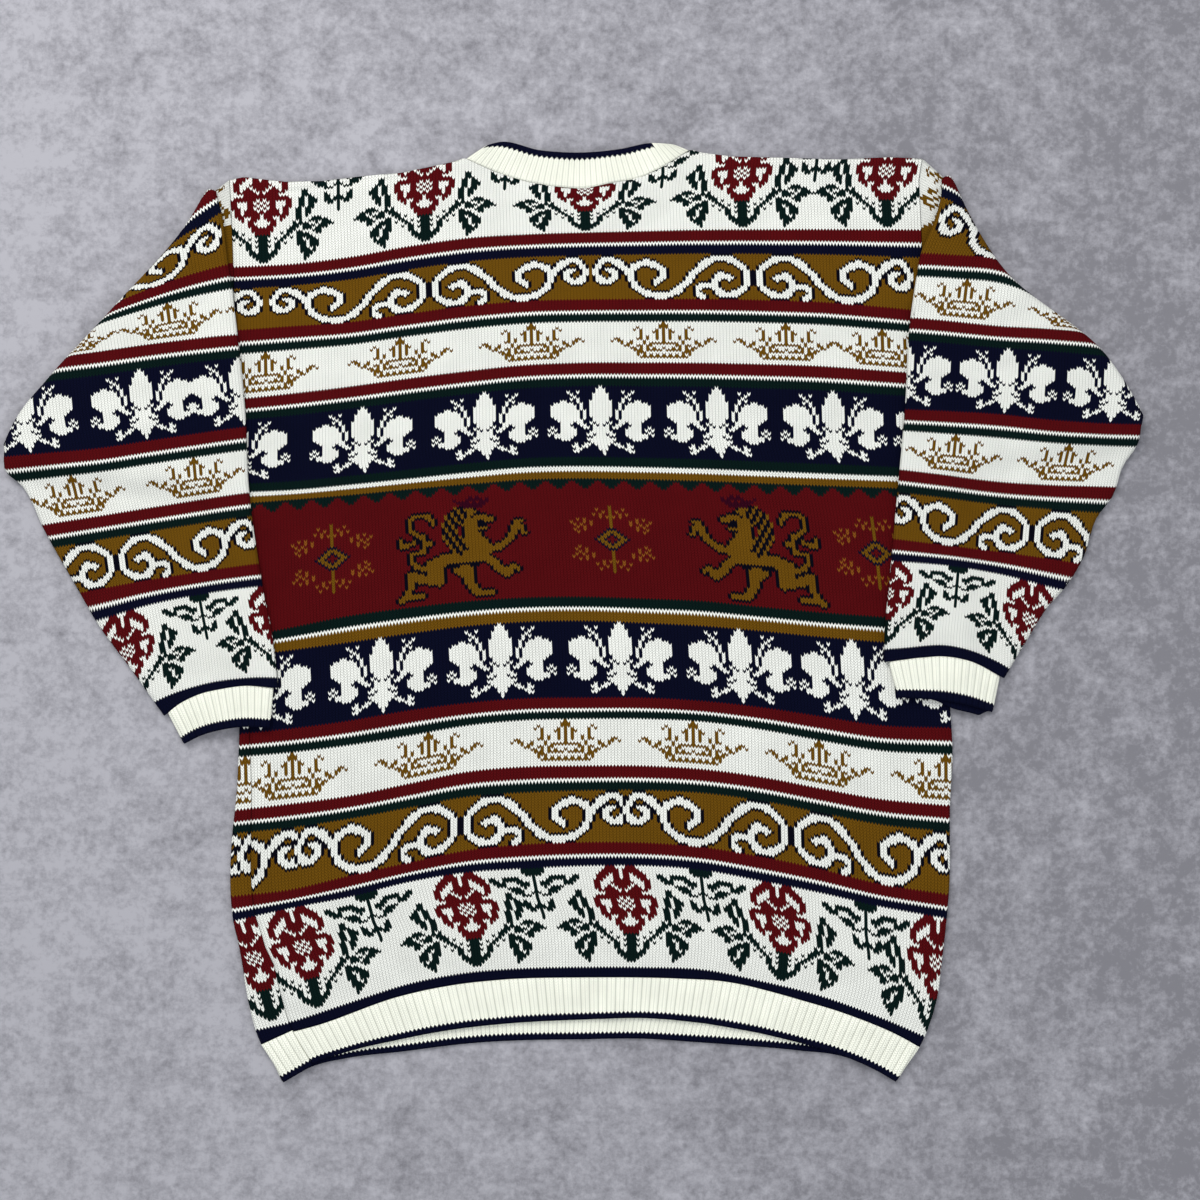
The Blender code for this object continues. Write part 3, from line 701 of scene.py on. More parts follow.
def swell(x, y, swells):
    """Height of the soft folds at a place."""
    rise = np.zeros_like(x)
    for x0, y0, long, across, turn, high in zip(*swells.values()):
        c, s = math.cos(math.radians(turn)), math.sin(math.radians(turn))
        along = (x - x0) * c + (y - y0) * s
        over = (y - y0) * c - (x - x0) * s
        rise = rise + high * np.exp(-((along / long) ** 2) - (over / across) ** 2)
    return rise


def waves(x, y):
    """Faint unevenness of the knitting, a fraction of a millimetre either way."""
    total = np.zeros_like(x)
    for angle, phase, number in zip(wave_angle, wave_phase, wave_number):
        total += np.sin((x * math.cos(angle) + y * math.sin(angle)) * number + phase)
    return WAVE_RISE * total / math.sqrt(WAVES)


print("soft folds of the body and the sleeves:", len(BODY_SWELLS["x"]), len(SLEEVE_SWELLS["x"]))
print("creases of the sleeves:", len(SLEEVE_CREASES["x"]))

# %% [markdown]
# Wool is dyed before it is knitted, so the colours are those of a few yarns. Each has a letter in
# the charts. The dark outlines and the dots are yarns of their own too.

# %% yarns
YARNS = {
    "I": (0.84, 0.85, 0.79),  # ivory
    "C": (0.87, 0.88, 0.76),  # cream, for the ribs
    "R": (0.085, 0.003, 0.0045),  # red
    "N": (0.002, 0.0028, 0.014),  # navy
    "G": (0.0018, 0.0095, 0.0085),  # green
    "O": (0.138, 0.064, 0.0036),  # ochre
    "K": (0.0016, 0.0016, 0.006),  # blue-black, for outlines
    "P": (0.030, 0.001, 0.008),  # purple
    "D": (0.200, 0.062, 0.008),  # ochre dots that sink into the red
}
YARN_TABLE = np.zeros((128, 4), np.float32)
for letter, color in YARNS.items():
    YARN_TABLE[ord(letter)] = (*color, 1)


def codes(letters):
    """Letters as their character numbers, at which the table holds their colours."""
    return np.frompyfunc(ord, 1, 1)(letters).astype(np.uint8)


def row_below(letters):
    """A chart moved up by a row, so that each place holds the letter of the stitch below."""
    return np.vstack([letters[1:], letters[-1:]])


def knit_places(across, up):
    """Stitch coordinates of a grid of points, from those of its columns and of its rows."""
    return np.stack(np.broadcast_arrays(across[None, :], up[:, None]), -1)


print("yarns:", ", ".join(YARNS))

# %% [markdown]
# A piece is collected patch by patch. A patch is a grid of points, and each of its faces is one
# stitch, or a third of one where the cloth turns. Its corners carry the colour of the yarn, the
# colour of the stitch below, whose tips reach up between its legs, and the place in the knitting.
# A plain sheet with a painted pattern would be quicker, but the pattern would blur near the cloth.

# %% meshes from patches
MERGE_DISTANCE = 0.01
RIM_PLACE = 0.25  # stitch coordinates of the narrow faces, so that they get one even tone


class Cloth:
    """Collects the points and faces of one piece of knitting."""

    def __init__(self, name):
        self.name = name
        self.points, self.faces, self.yarn, self.below, self.place = [], [], [], [], []
        self.count = 0

    def patch(self, points, letters, below, place, flip=False, keep=None):
        """Adds a grid of points. The letters are one less each way than the points."""
        rows, columns = points.shape[:2]
        number = np.arange(rows * columns).reshape(rows, columns)
        corners = [number[:-1, :-1], number[1:, :-1], number[1:, 1:], number[:-1, 1:]]
        quads = np.stack(corners[::-1] if flip else corners, -1).reshape(-1, 4)
        keep = np.full(len(quads), True) if keep is None else keep.ravel()
        quads = quads[keep]
        self.points.append(points.reshape(-1, 3))
        self.faces += (quads + self.count).tolist()
        self.yarn.append(np.repeat(codes(letters).ravel()[keep], 4))
        self.below.append(np.repeat(codes(below).ravel()[keep], 4))
        self.place.append(place.reshape(-1, 2)[quads.ravel()])
        self.count += rows * columns

    def rim(self, fine, coarse, kept, letters):
        """Adds the narrow faces between a line of points and the same line with fewer points."""
        first, second = self.count, self.count + len(fine)
        self.points += [fine, coarse]
        for k, (a, b) in enumerate(zip(kept, kept[1:])):
            face = [first + i for i in range(a, b + 1)] + [second + k + 1, second + k]
            self.faces.append(face)
            letter = ord(letters[min(k, len(letters) - 1)])
            self.yarn.append(np.full(len(face), letter))
            self.below.append(np.full(len(face), letter))
            self.place.append(np.full((len(face), 2), RIM_PLACE))
        self.count += len(fine) + len(coarse)

    def finished(self, closed):
        """Makes the object: merges the patches' common points and adds the attributes."""
        mesh = bpy.data.meshes.new(self.name)
        points = np.concatenate(self.points) * MM
        mesh.from_pydata(points.tolist(), [], self.faces)
        loops = np.concatenate([np.array(face, np.int32) for face in self.faces])
        low = points.min(0)
        flat = (points[loops, :2] - low[:2]) / (points.max(0) - low)[:2]
        for name, uv in (("sheet", flat), ("stitches", np.concatenate(self.place))):
            mesh.uv_layers.new(name=name).data.foreach_set("uv", uv.astype(np.float32).ravel())
        for name, letters in (("yarn", self.yarn), ("below", self.below)):
            layer = mesh.attributes.new(name, "FLOAT_COLOR", "CORNER")
            layer.data.foreach_set("color", YARN_TABLE[np.concatenate(letters)].ravel())
        mesh.uv_layers.active = mesh.uv_layers["sheet"]
        mesh.uv_layers["sheet"].active_render = True
        shell = bmesh.new()
        shell.from_mesh(mesh)
        bmesh.ops.remove_doubles(shell, verts=shell.verts, dist=MERGE_DISTANCE * MM)
        if closed:
            bmesh.ops.recalc_face_normals(shell, faces=shell.faces)
        open_edges = sum(edge.is_boundary for edge in shell.edges)
        shell.to_mesh(mesh)
        shell.free()
        mesh.shade_smooth()
        piece = bpy.data.objects.new(self.name, mesh)
        bpy.context.collection.objects.link(piece)
        area = sum(face.area for face in mesh.polygons)
        triangles = sum(len(face.vertices) - 2 for face in mesh.polygons)
        print(f"{self.name}: {triangles} triangles, {area:.4f} square metres, {open_edges} open edges")
        return piece


print("points closer together than", MERGE_DISTANCE, "mm are merged")

# %% [markdown]
# The body's chart is read from its plan, band by band from the neck down, and the motifs are set
# into it where they lie on the sweater. A stripe of a single ivory row looks half as high again, and
# those of three rows a sixth, because their yarn swells out between its neighbours.

# %% the body's chart
BACKGROUND = {"rose": "I", "scroll": "O", "crown": "I", "lily": "N", "lion": "R"}
STITCHES = 215  # across a panel
BODY_MOTIFS = (
    # number of the band from the top, motif, its lowest row, and its places across
    (0, "rose", 1, (-265, -124, 12, 145, 268)), (0, "sprig", 22, (-58,)), (0, "sprig", 21, (76,)),
    (0, "sprig", 19, (-200, 207)), (1, "scroll", 0, (-399, -122, 156, 434)),
    (2, "crown", 2, (-262, -145, -33, 78.5, 184, 266)),
    (3, "lily", 1, (-286, -179, -75, 25, 124, 222, 320)), (4, "star", 10, (-204, 36, 260)),
    (4, "lion", 0, (-93,)), (4, "lion_left", 0, (156.5,)),
    (5, "lily", 1, (-265, -161, -59, 44, 145, 240, 340)),
    (6, "crown", 2, (-238, -120, -3, 105, 213, 322)), (7, "scroll", 0, (-373, -92, 190, 468)),
    (8, "rose", 2, (-223, -82, 54, 186, 323)), (8, "sprig", 19, (-160, -18, 120, 260)),
)
HEIGHTS = {"I1": 1.5, "G3": 7 / 6, "N3": 7 / 6}
MIDDLE = 14.0  # the sweater's middle line, about which the front's pattern is mirrored
DAG_START = -100.0


def knit_plan(plan):
    """A plan's rows from the top: each one's yarn, the pattern line and share at its upper edge,
    and the bands as (name, first row, rows)."""
    yarns, edges, bands = [], [], []
    for group, text in enumerate(plan):
        heights = []
        for word in text.split():
            name, _, rows = word.partition(":") if ":" in word else (word[0], "", word[1:])
            rows = int(rows)
            if name in BACKGROUND:
                bands.append((name, len(yarns), rows))
            yarns += [BACKGROUND.get(name, name)] * rows
            heights += [HEIGHTS.get(word, 1.0)] * rows
        run = np.concatenate([[0], np.cumsum(heights)]) / sum(heights)
        edges += [(group, share) for share in run[:-1]]
    return np.array(yarns), edges + [(len(plan) - 1, 1.0)], bands


def put(letters, band, chart, column, base):
    """Knits a motif into a band, with its middle at a column and its lowest row at `base`."""
    _, first, rows = band
    left = round(column - chart.shape[1] / 2)
    for r, c in np.argwhere(chart != "."):
        row, place = first + rows - 1 - base - r, left + c
        if first <= row < first + rows and 0 <= place < letters.shape[1]:
            letters[row, place] = chart[r, c]


BODY_YARNS, BODY_EDGES, BODY_BANDS = knit_plan(BODY_PLAN)
BODY_ROWS = len(BODY_YARNS)
print("rows of the body:", BODY_ROWS, "bands:", BODY_BANDS)

# %% [markdown]
# A panel of the body is a row of knitting repeated down the sweater. Each row runs from armhole to
# armhole, or from side to side below the arms, where the front turns up over the back at the left
# and the back turns down under the front at the right.

# %% rows of the body
LINE_POINTS = 400
ROUNDS = 8  # of bringing the ends of a row onto the edges
END_STEP = 5  # points over which its direction is measured there
UNDERARM_ENDS = np.array([armhole["y"][0] for _, armhole in BODY_SIDES.values()])
SLIP_FROM, SLIP_OVER = 115.0, 425.0  # where the front starts to slip down, and over what height


def body_line(number, x):
    """Height of one of the body's pattern lines. The first is the top and the last is the hem."""
    if number == 0:
        return smooth(x, BODY_AT, BODY_LINES[0] + TOP_ROWS_HIGH)
    if number > len(BODY_LINES):
        return smooth(x, HEM_SEAM["x"], HEM_SEAM["y"])
    return smooth(x, BODY_AT, BODY_LINES[number - 1])


def slip(x):
    """How much further down the front's hem lies than the back's."""
    return smooth(x, HEM_SLIP["x"], HEM_SLIP["slip"])


def row_between(group, share, front):
    """The height along a row as a function of x."""
    def height(x):
        return body_line(group, x) * (1 - share) + body_line(group + 1, x) * share
    drop = float(np.clip((SLIP_FROM - height(np.array([MIDDLE]))[0]) / SLIP_OVER, 0, 1)) * front
    return lambda x: height(x) - drop * slip(x)


def measured(line):
    """Points along a row with the distance along it, and how far its two sides are closed."""
    x = np.array([LEFT_SIDE["x"][-1], RIGHT_SIDE["x"][-1]])
    for _ in range(ROUNDS):
        y = line(x)
        closed = np.clip((UNDERARM_ENDS - y) / CLOSING, 0, 1)
        for k, (side, (edge, armhole)) in enumerate(BODY_SIDES.items()):
            if y[k] > armhole["y"][0]:
                x[k] = np.interp(y[k], armhole["y"], armhole["x"])
            else:
                x[k] = smooth(y[k], edge["y"], edge["x"]) - side * HALF * closed[k]
    across = np.linspace(*x, LINE_POINTS)
    points = np.column_stack([across, line(across)])
    return points, run_along(points), closed


def seam_in(y, side, closed):
    """Width of the cloth that lies past the turn, up to the side seam."""
    return max(np.interp(y, SIDE_SEAM["y"], SIDE_SEAM[side]) - HALF, LEAST_TAIL) * closed


def span(points, run, closed, front):
    """Distances along a row at which a panel starts and ends, as it goes over an edge."""
    left, right = (seam_in(points[k, 1], side, closed[k]) for k, side in ((0, "left"), (-1, "right")))
    if front:
        return -(closed[0] * HALF_TURN + left - SIDE_GAP / 2), run[-1] - right - SIDE_GAP / 2
    return left + SIDE_GAP / 2, run[-1] + closed[1] * HALF_TURN + right - SIDE_GAP / 2


def lay(points, run, s, offset, level, up):
    """3-D points at distances s along a row, which turns over the edge before 0 and past its end."""
    inside = np.clip(s, 0, run[-1])
    place = resampled(points, inside / run[-1])
    ends = unit(np.array([points[0] - points[END_STEP], points[-1] - points[-1 - END_STEP]]))
    direction = np.where((s < run[-1] / 2)[:, None], ends[0], ends[1])
    beyond = np.maximum(np.maximum(-s, s - run[-1]), 0)
    out, high = turned(beyond, offset, up)
    return np.column_stack([place + direction * out[:, None], level + high])


def on_shoulder(x):
    """1 along the shoulders and 0 along the neckline."""
    left, right = NECK_BACK["x"][0], NECK_BACK["x"][-1]
    return np.where(x < 0, ease((left - x) / NECK_BLEND), ease((x - right) / NECK_BLEND))


def top_line(x, neck):
    """Where the shoulders start to turn, and where the neckline is cut."""
    shoulder = np.interp(x, SHOULDERS["x"], SHOULDERS["y"])
    cut = smooth(np.clip(x, neck["x"][0], neck["x"][-1]), neck["x"], neck["y"]) - SEAM
    at_neck = (x > neck["x"][0]) & (x < neck["x"][-1])
    return np.where(at_neck, cut, shoulder) - HALF * on_shoulder(x)


def cut_top(grid, neck, offset, level, up):
    """Turns the cloth over the shoulders and cuts it along the neckline. What lies past the cut
    is gathered on it, so that it can be merged away."""
    x, y = grid[..., 0], grid[..., 1]
    line = top_line(x, neck)
    past, limit = y - line, QUARTER_TURN * on_shoulder(x)
    over = np.clip(past, 0, limit)
    out, high = turned(over, offset, up)
    grid[..., 1] = np.where(past > 0, line + out, y)
    rolled = level + high - up * SEAM / 2 * over / QUARTER_TURN
    grid[..., 2] = np.where(past > 0, rolled, grid[..., 2])
    for column, first in enumerate((past < limit).argmax(0)):
        grid[:max(first - 1, 0), column] = grid[max(first - 1, 0), column]


middle_row = measured(row_between(len(BODY_LINES) // 2, 0.0, False))
print("a row at the lions is", round(middle_row[1][-1]), "mm long between the turned edges")

# %% [markdown]
# The outer face of a panel has a face for each stitch. The inner face is hidden, so it keeps only
# every eighth row and column, and narrow faces close the wall round its four sides. Along the edge
# that turns, each stitch is split into thirds, because the turn is only a stitch and a half long.

# %% panels
EDGE_STITCHES = 14
COARSE = 8
SEAM_DIP = 1.3
SEAM_WIDTH = 2.4
SHOULDER_SEAM = table("x y", (-252, 356), (-225, 360), (-190, 366), (-155, 369.5), (-120, 374))
GROOVE_FROM, GROOVE_TO, GROOVE_FADE = -256.0, -116.0, 14.0
GROOVE_DEPTH, GROOVE_WIDTH = 1.6, 2.0
TOUCH = 0.02


def columns_of(front):
    """Places of the columns of points in stitches, and which of them the inner face keeps."""
    plain = STITCHES - EDGE_STITCHES
    at = np.concatenate([np.arange(plain), plain + np.arange(3 * EDGE_STITCHES + 1) / 3])
    kept = np.concatenate([np.arange(0, plain, COARSE), np.arange(plain, len(at))])
    return (STITCHES - at[::-1], len(at) - 1 - kept[::-1]) if front else (at, kept)


def body_letters(spans, front):
    """The chart of a panel: its stripes with the motifs of each band."""
    letters = np.repeat(BODY_YARNS[:, None], STITCHES, 1)
    for number, name, base, places in BODY_MOTIFS:
        band = BODY_BANDS[number]
        left, right = spans[band[1] + band[2] // 2]
        for x in places:
            x = 2 * MIDDLE - x if front else x
            put(letters, band, MOTIFS[name], (x - left) / (right - left) * STITCHES, base)
    first = next(start for name, start, _ in BODY_BANDS if name == "lion")
    left, right = spans[first]
    phase = round((DAG_START - left) / (right - left) * STITCHES)
    dags = whole(DAGS, mirrored=False)[::-1]
    for r in range(len(dags)):
        row = np.roll(np.resize(dags[r], STITCHES), phase % dags.shape[1])
        letters[first + r] = np.where(row == ".", letters[first + r], row)
    return letters


def panel_face(rows, ends, at, offset, front):
    """The outer or the inner face of a panel as a grid of points, cut along its top."""
    level, up, neck = (FRONT_LEVEL, 1, NECK_FRONT) if front else (BACK_LEVEL, -1, NECK_BACK)
    grid = np.array([
        lay(points, run, start + at / STITCHES * (end - start), up * offset, level, up)
        for (points, run, _), (start, end) in zip(rows, ends)
    ])
    cut_top(grid, neck, up * offset, level, up)
    return grid


def shoulder_groove(x, y):
    """Depth of the groove along the seam of the left shoulder."""
    ridge = np.interp(x, SHOULDER_SEAM["x"], SHOULDER_SEAM["y"])
    inside = ease((x - GROOVE_FROM) / GROOVE_FADE) * ease((GROOVE_TO - x) / GROOVE_FADE)
    return GROOVE_DEPTH * inside * np.exp(-(((y - ridge) / GROOVE_WIDTH) ** 2))


def settle(outer, inner, rows, ends, at, front):
    """Gives the side that shows its soft folds and the grooves of its seams."""
    x, y, z = (outer[..., k] for k in range(3))
    past_seam = np.array([at / STITCHES * (end - start) for start, end in ends])
    closed = np.array([row[2][0] for row in rows])[:, None]
    relief = swell(x, y, BODY_SWELLS) + waves(x, y)
    relief -= SEAM_DIP * closed * np.exp(-((past_seam / SEAM_WIDTH) ** 2))
    if not front:
        relief -= shoulder_groove(x, y)
        lifted = swell(inner[..., 0], inner[..., 1], BODY_SWELLS)
        inner[..., 2] += np.where(inner[..., 2] > BACK_LEVEL - WALL / 2 - TOUCH, lifted, 0)
    z += np.where(z > BACK_LEVEL + WALL / 2 - TOUCH, relief, 0)


def panel(name, front):
    """A panel of the body. Returns the piece."""
    at, kept_columns = columns_of(front)
    rows = [measured(row_between(group, share, front)) for group, share in BODY_EDGES]
    ends = [span(*row, front) for row in rows]
    outer, inner = (panel_face(rows, ends, at, offset, front) for offset in (-WALL / 2, WALL / 2))
    settle(outer, inner, rows, ends, at, front)
    # In unrolled places across, a row runs straight on past the edge that it turns over.
    spans = [(row[0][0, 0] + start, row[0][0, 0] + end) for row, (start, end) in zip(rows, ends)]
    letters = body_letters(spans, front)
    below = row_below(letters)
    stitch = np.minimum(((at[:-1] + at[1:]) / 2).astype(int), STITCHES - 1)
    place = knit_places(at, BODY_ROWS - np.arange(BODY_ROWS + 1.0))
    cloth = Cloth(name)
    cloth.patch(outer, letters[:, stitch], below[:, stitch], place, flip=front)
    kept_rows = np.append(np.arange(0, BODY_ROWS, COARSE), BODY_ROWS)
    coarse = inner[np.ix_(kept_rows, kept_columns)]
    shape = len(kept_rows) - 1, len(kept_columns) - 1
    yarn = np.broadcast_to(BODY_YARNS[kept_rows[:-1], None], shape)
    cloth.patch(coarse, yarn, yarn, place[np.ix_(kept_rows, kept_columns)], flip=not front)
    cloth.rim(outer[0], coarse[0], kept_columns, "I")
    cloth.rim(outer[-1], coarse[-1], kept_columns, "N")
    # The walls at the side seams keep the stripes' colours in their upper half.
    for column in (0, -1):
        middle = (outer[:, column] + inner[:, column]) / 2
        sides = [letters[:, [column]], below[:, [column]], np.stack([place[:, column]] * 2, 1)]
        cloth.patch(np.stack([outer[:, column], middle], 1), *sides)
        cloth.rim(middle, coarse[:, column], kept_rows, "I")
    return cloth.finished(closed=True)


back = panel("knit_back", False)
front = panel("knit_front", True)

# %% [markdown]
# Ribbing is knitted of raised ridges with deep grooves between them, which draw the cloth in. Its
# last rows are knitted in navy, and on the flatter neckband cream beads stand out between them.

# %% ribs
HEM_RIBS, HIDDEN_RIBS = 71, 5
NECK_RIBS = 38
CUFF_RIBS = 14
HEM_TIP_ROWS, NECK_TIP_ROWS, CUFF_TIP_ROWS = 2, 3, 3
ACROSS_RIB = 8
RIB_ROWS = 16
RIB_EDGE, RIB_START = 0.06, 0.12
RIDGE_POWER = 0.7
TIP_ROUND = 0.5
TIP_FLATTER = 0.6
RIB_WALES = 2


def ridge(phase):
    """0 in the grooves and 1 on the ridges of a rib."""
    return np.abs(np.sin(math.pi * phase)) ** RIDGE_POWER


def rib_shares():
    """Shares of a rib's length at which its rows of points lie."""
    return np.concatenate([[0, RIB_EDGE], np.linspace(RIB_START, 1, RIB_ROWS - 1)])


def standing(share):
    """How fully the ridges stand out: not at the seam, and less at the tip."""
    return ease(share / RIB_START) * (1 - TIP_FLATTER * (share == 1))


def rib_letters(columns, navy, tip, beaded=False):
    """Letters of a rib: cream, with its last `tip` rows in navy where `navy` is true."""
    letters = np.full((RIB_ROWS, columns), "C")
    letters[-tip:] = np.where(navy, "N", "C")
    on_ridge = np.abs(np.arange(columns) % ACROSS_RIB - (ACROSS_RIB - 1) / 2) < 1
    letters[-tip, on_ridge & beaded] = "C"
    return letters


rib_heights = [round(float(RIB_RISE * standing(share)), 2) for share in rib_shares()]
print("height of the ridges from the seam to the tip, mm:", rib_heights)

# %% [markdown]
# The ribs of the hem lie flat like the panels that they are sewn to, and turn over the edges of the
# body with them. The front's hangs out below the back's, so that its inner side shows. On its inner
# side the ridges lie between those of the outer side.

# %% ribs of the hem
HEM_COLUMNS = (HEM_RIBS + HIDDEN_RIBS) * ACROSS_RIB
HEM_WAVES = 1.5


def hem_line(line, share, shares, outward, front):
    """One face's points along the hem's seam or tip, raised as at a share of the rib's length."""
    level, up = (FRONT_LEVEL, 1) if front else (BACK_LEVEL, -1)
    points, run, closed = line
    start, end = span(points, run, closed, front)
    s = start + shares * (end - start)
    turn = np.clip((-s if front else s - run[-1]) / HALF_TURN, 0, 1)
    phase = shares * HEM_COLUMNS / ACROSS_RIB
    if outward == -up:
        high = ridge(phase) - 1 + (turn if front else 1 - turn)
    else:
        high = front * (ridge(phase + 0.5) - 1)
    high = RIB_RISE * standing(share) * high - TIP_ROUND * (share == 1)
    return lay(points, run, s, outward * (WALL / 2 + high), level, up)


def hem_face(lines, shares, outward, front):
    """One face of a hem's rib as a grid of points between its seam and its tip."""
    face = []
    for share in rib_shares():
        seam, tip = (hem_line(line, share, shares, outward, front) for line in lines)
        seam[:, 1] -= SEAM_DROP
        face.append(seam * (1 - share) + tip * share)
    return np.array(face)


def hem_rib(name, front):
    """The rib of a panel's hem."""
    lines = (
        measured(row_between(len(BODY_PLAN) - 1, 1.0, front)),
        measured(lambda x: smooth(x, HEM_TIP["x"], HEM_TIP["y"]) - front * slip(x)),
    )
    shares = np.linspace(0, 1, HEM_COLUMNS + 1)
    up = 1 if front else -1
    outer, inner = (hem_face(lines, shares, outward, front) for outward in (-up, up))
    if not front:
        on_top = outer[..., 2] > BACK_LEVEL
        outer[..., 2] += np.where(on_top, HEM_WAVES * waves(outer[..., 0], outer[..., 1]), 0)
    letters = rib_letters(HEM_COLUMNS, True, HEM_TIP_ROWS)
    below = row_below(letters)
    wales = shares * HEM_COLUMNS / ACROSS_RIB * RIB_WALES
    place = knit_places(wales, RIB_ROWS - np.arange(RIB_ROWS + 1.0))
    cloth = Cloth(name)
    cloth.patch(outer, letters, below, place, flip=front)
    cloth.patch(inner, letters, below, place, flip=not front)
    every, rows = np.arange(HEM_COLUMNS + 1), np.arange(RIB_ROWS + 1)
    cloth.rim(outer[0], inner[0], every, "C")
    cloth.rim(outer[-1], inner[-1], every, "N")
    cloth.rim(outer[:, 0], inner[:, 0], rows, letters[:, 0])
    cloth.rim(outer[:, -1], inner[:, -1], rows, letters[:, -1])
    return cloth.finished(closed=True)


hem_back = hem_rib("rib_hem_back", False)
hem_front = hem_rib("rib_hem_front", True)

# %% [markdown]
# The neckband, the sleeves and the cuffs are tubes pressed flat. One section of such a tube is a
# loop of points: across the top, round one edge, back along the underside and round the other
# edge. Sections one after another make its outer face, and thinner ones inside it the inner face.

# %% flattened tubes
ARC_STEPS = 8
ARC = np.radians(np.arange(1, ARC_STEPS) * 180 / ARC_STEPS)


def section(top, bottom, normals, radius, rise_top=0.0, rise_bottom=0.0):
    """Points round a section whose flat sides follow `top` and `bottom`, at the tube's middle."""
    normals = np.broadcast_to(normals, top.shape)
    above = top + normals * (radius + np.broadcast_to(rise_top, len(top)))[:, None]
    below = bottom - normals * (radius + np.broadcast_to(rise_bottom, len(top)))[:, None]
    arcs = []
    for end, away, sign in ((-1, top[-1] - top[-2], 1), (0, top[0] - top[1], -1)):
        side, up = np.sin(ARC)[:, None], sign * np.cos(ARC)[:, None]
        arcs.append(top[end] + radius * (side * unit(away) + up * normals[end]))
    return np.concatenate([above, arcs[0], below[::-1], arcs[1], above[:1]])


def tube(name, outer, inner, letters, across):
    """A closed wall between two stacks of sections, whose ends are joined."""
    below = row_below(letters)
    place = knit_places(across, len(outer) - 1 - np.arange(len(outer), dtype=float))
    cloth = Cloth(name)
    cloth.patch(outer, letters, below, place)
    cloth.patch(inner, letters, below, place, flip=True)
    every = np.arange(outer.shape[1])
    cloth.rim(outer[0], inner[0], every, "C")
    cloth.rim(outer[-1], inner[-1], every, "N")
    return cloth.finished(closed=True)


def ribbed_tube(name, seams, tips, ribs, level, navy, tip_rows, rise=RIB_RISE):
    """A ribbed tube between two pairs of lines in plan, (top, bottom) at the seam and at the tip."""
    shares = np.linspace(0, 1, ribs * ACROSS_RIB + 1)
    phase = shares * ribs
    high = rise * ridge(phase)
    outer, inner = [], []
    for share in rib_shares():
        lines = [seam * (1 - share) + tip * share for seam, tip in zip(seams, tips)]
        lines[1][0], lines[1][-1] = lines[0][0], lines[0][-1]
        lines = [np.column_stack([line, level(*line.T)]) for line in lines]
        raised = standing(share)
        end = TIP_ROUND * (share == 1)
        outer.append(section(*lines, UP, HALF - end, high * raised, (high - rise) * raised))
        inner.append(section(*lines, UP, BETWEEN / 2 + end))
    outer, inner = np.array(outer), np.array(inner)
    loop = run_along(outer[RIB_ROWS // 2])
    across = loop / loop[-1] * round(ribs * RIB_WALES * loop[-1] / loop[len(shares) - 1])
    across[:len(shares)] = phase * RIB_WALES
    middles = (outer[-1, 1:] + outer[-1, :-1]) / 2
    letters = rib_letters(len(across) - 1, navy(middles), tip_rows, beaded=rise < RIB_RISE)
    return tube(name, outer, inner, letters, across)


print("points round each edge of a tube:", len(ARC))

# %% [markdown]
# The neckband gets narrower from the neckline to its tip, and only the middle of the tip is navy.
# Its front half lies deeper, beneath the back panel.

# %% neckband
NAVY_FROM, NAVY_TO = -72.0, 67.0
NECK_RISE = 0.4
NECK_POINTS = 60


def neckband():
    """The neckband."""
    shares = np.linspace(0, 1, NECK_RIBS * ACROSS_RIB + 1)
    x = np.linspace(NECK_BACK["x"][0], NECK_BACK["x"][-1], NECK_POINTS)
    cuts = [np.column_stack([x, top_line(x, neck)]) for neck in (NECK_BACK, NECK_FRONT)]
    back_seam, front_seam = (beside(cut, SEAM_DROP) for cut in cuts)
    seams = resampled(back_seam, shares, HALF + SEAM), resampled(front_seam, shares)
    tips = [path(edge, shares, HALF) for edge in (BAND_TIP_BACK, BAND_TIP_FRONT)]

    def navy(middle):
        return (middle[:, 0] > NAVY_FROM) & (middle[:, 0] < NAVY_TO)

    return ribbed_tube("rib_neckband", seams, tips, NECK_RIBS, lambda x, y: np.full_like(x, HALF),
                       navy, NECK_TIP_ROWS, NECK_RISE)


band = neckband()

# %% [markdown]
# Each sleeve is a flattened tube that goes out from the armhole, rolls over along a diagonal fold
# and comes back over its own root. Sections from the armhole to the cuff give its hidden sides.
# The side that shows is a patch of its own, with a face for each stitch, because its rows of
# knitting cross the sections at a slant. It rolls over the edges all round.

# %% middle of the sleeves
SLEEVE_COLUMNS = 84
ROOT_STATIONS = 22
FOLD_STATIONS = 10
LAID_STATIONS = 60
ROOT_CROWDING = 1.4  # above 1, the sections stand closer together near the armhole


def beyond_support(x, y, side):
    """How far a place of a folded sleeve lies past both the body and the sleeve's own root."""
    body, armhole = BODY_SIDES[side]
    fold = EDGES[side]["fold"]
    off_body = side * (x - smooth(y, body["y"], body["x"]))
    share = (x - armhole["x"][0]) / (fold["x"][-1] - armhole["x"][0])
    underarm = armhole["y"][0] + share * (fold["y"][-1] - armhole["y"][0])
    return np.minimum(off_body, underarm - y)


def laid_level(x, y, side):
    """Height of a folded sleeve's middle: on top of its root and the body, or down on the floor."""
    drop = LIFT * ease((beyond_support(x, y, side) - DROP_START) / DROP_WIDTH)
    return HALF + LIFT - drop + swell(x, y, SLEEVE_SWELLS)


def between_edges(s, side, bend, end):
    """Plan points across the folded sleeve, fitted to its four edges."""
    ends, inset = np.array([0, s, 1]), np.array([side * HALF, 0])
    first = path(EDGES[side]["arm_top"], ends) + inset
    last = path(EDGES[side]["underarm"], ends) - inset
    across = np.linspace(0, 1, len(bend))[:, None]
    near, straight, far = first[:, None] * (1 - across) + last[:, None] * across
    return straight + (1 - s) * (bend - near) + s * (end - far)


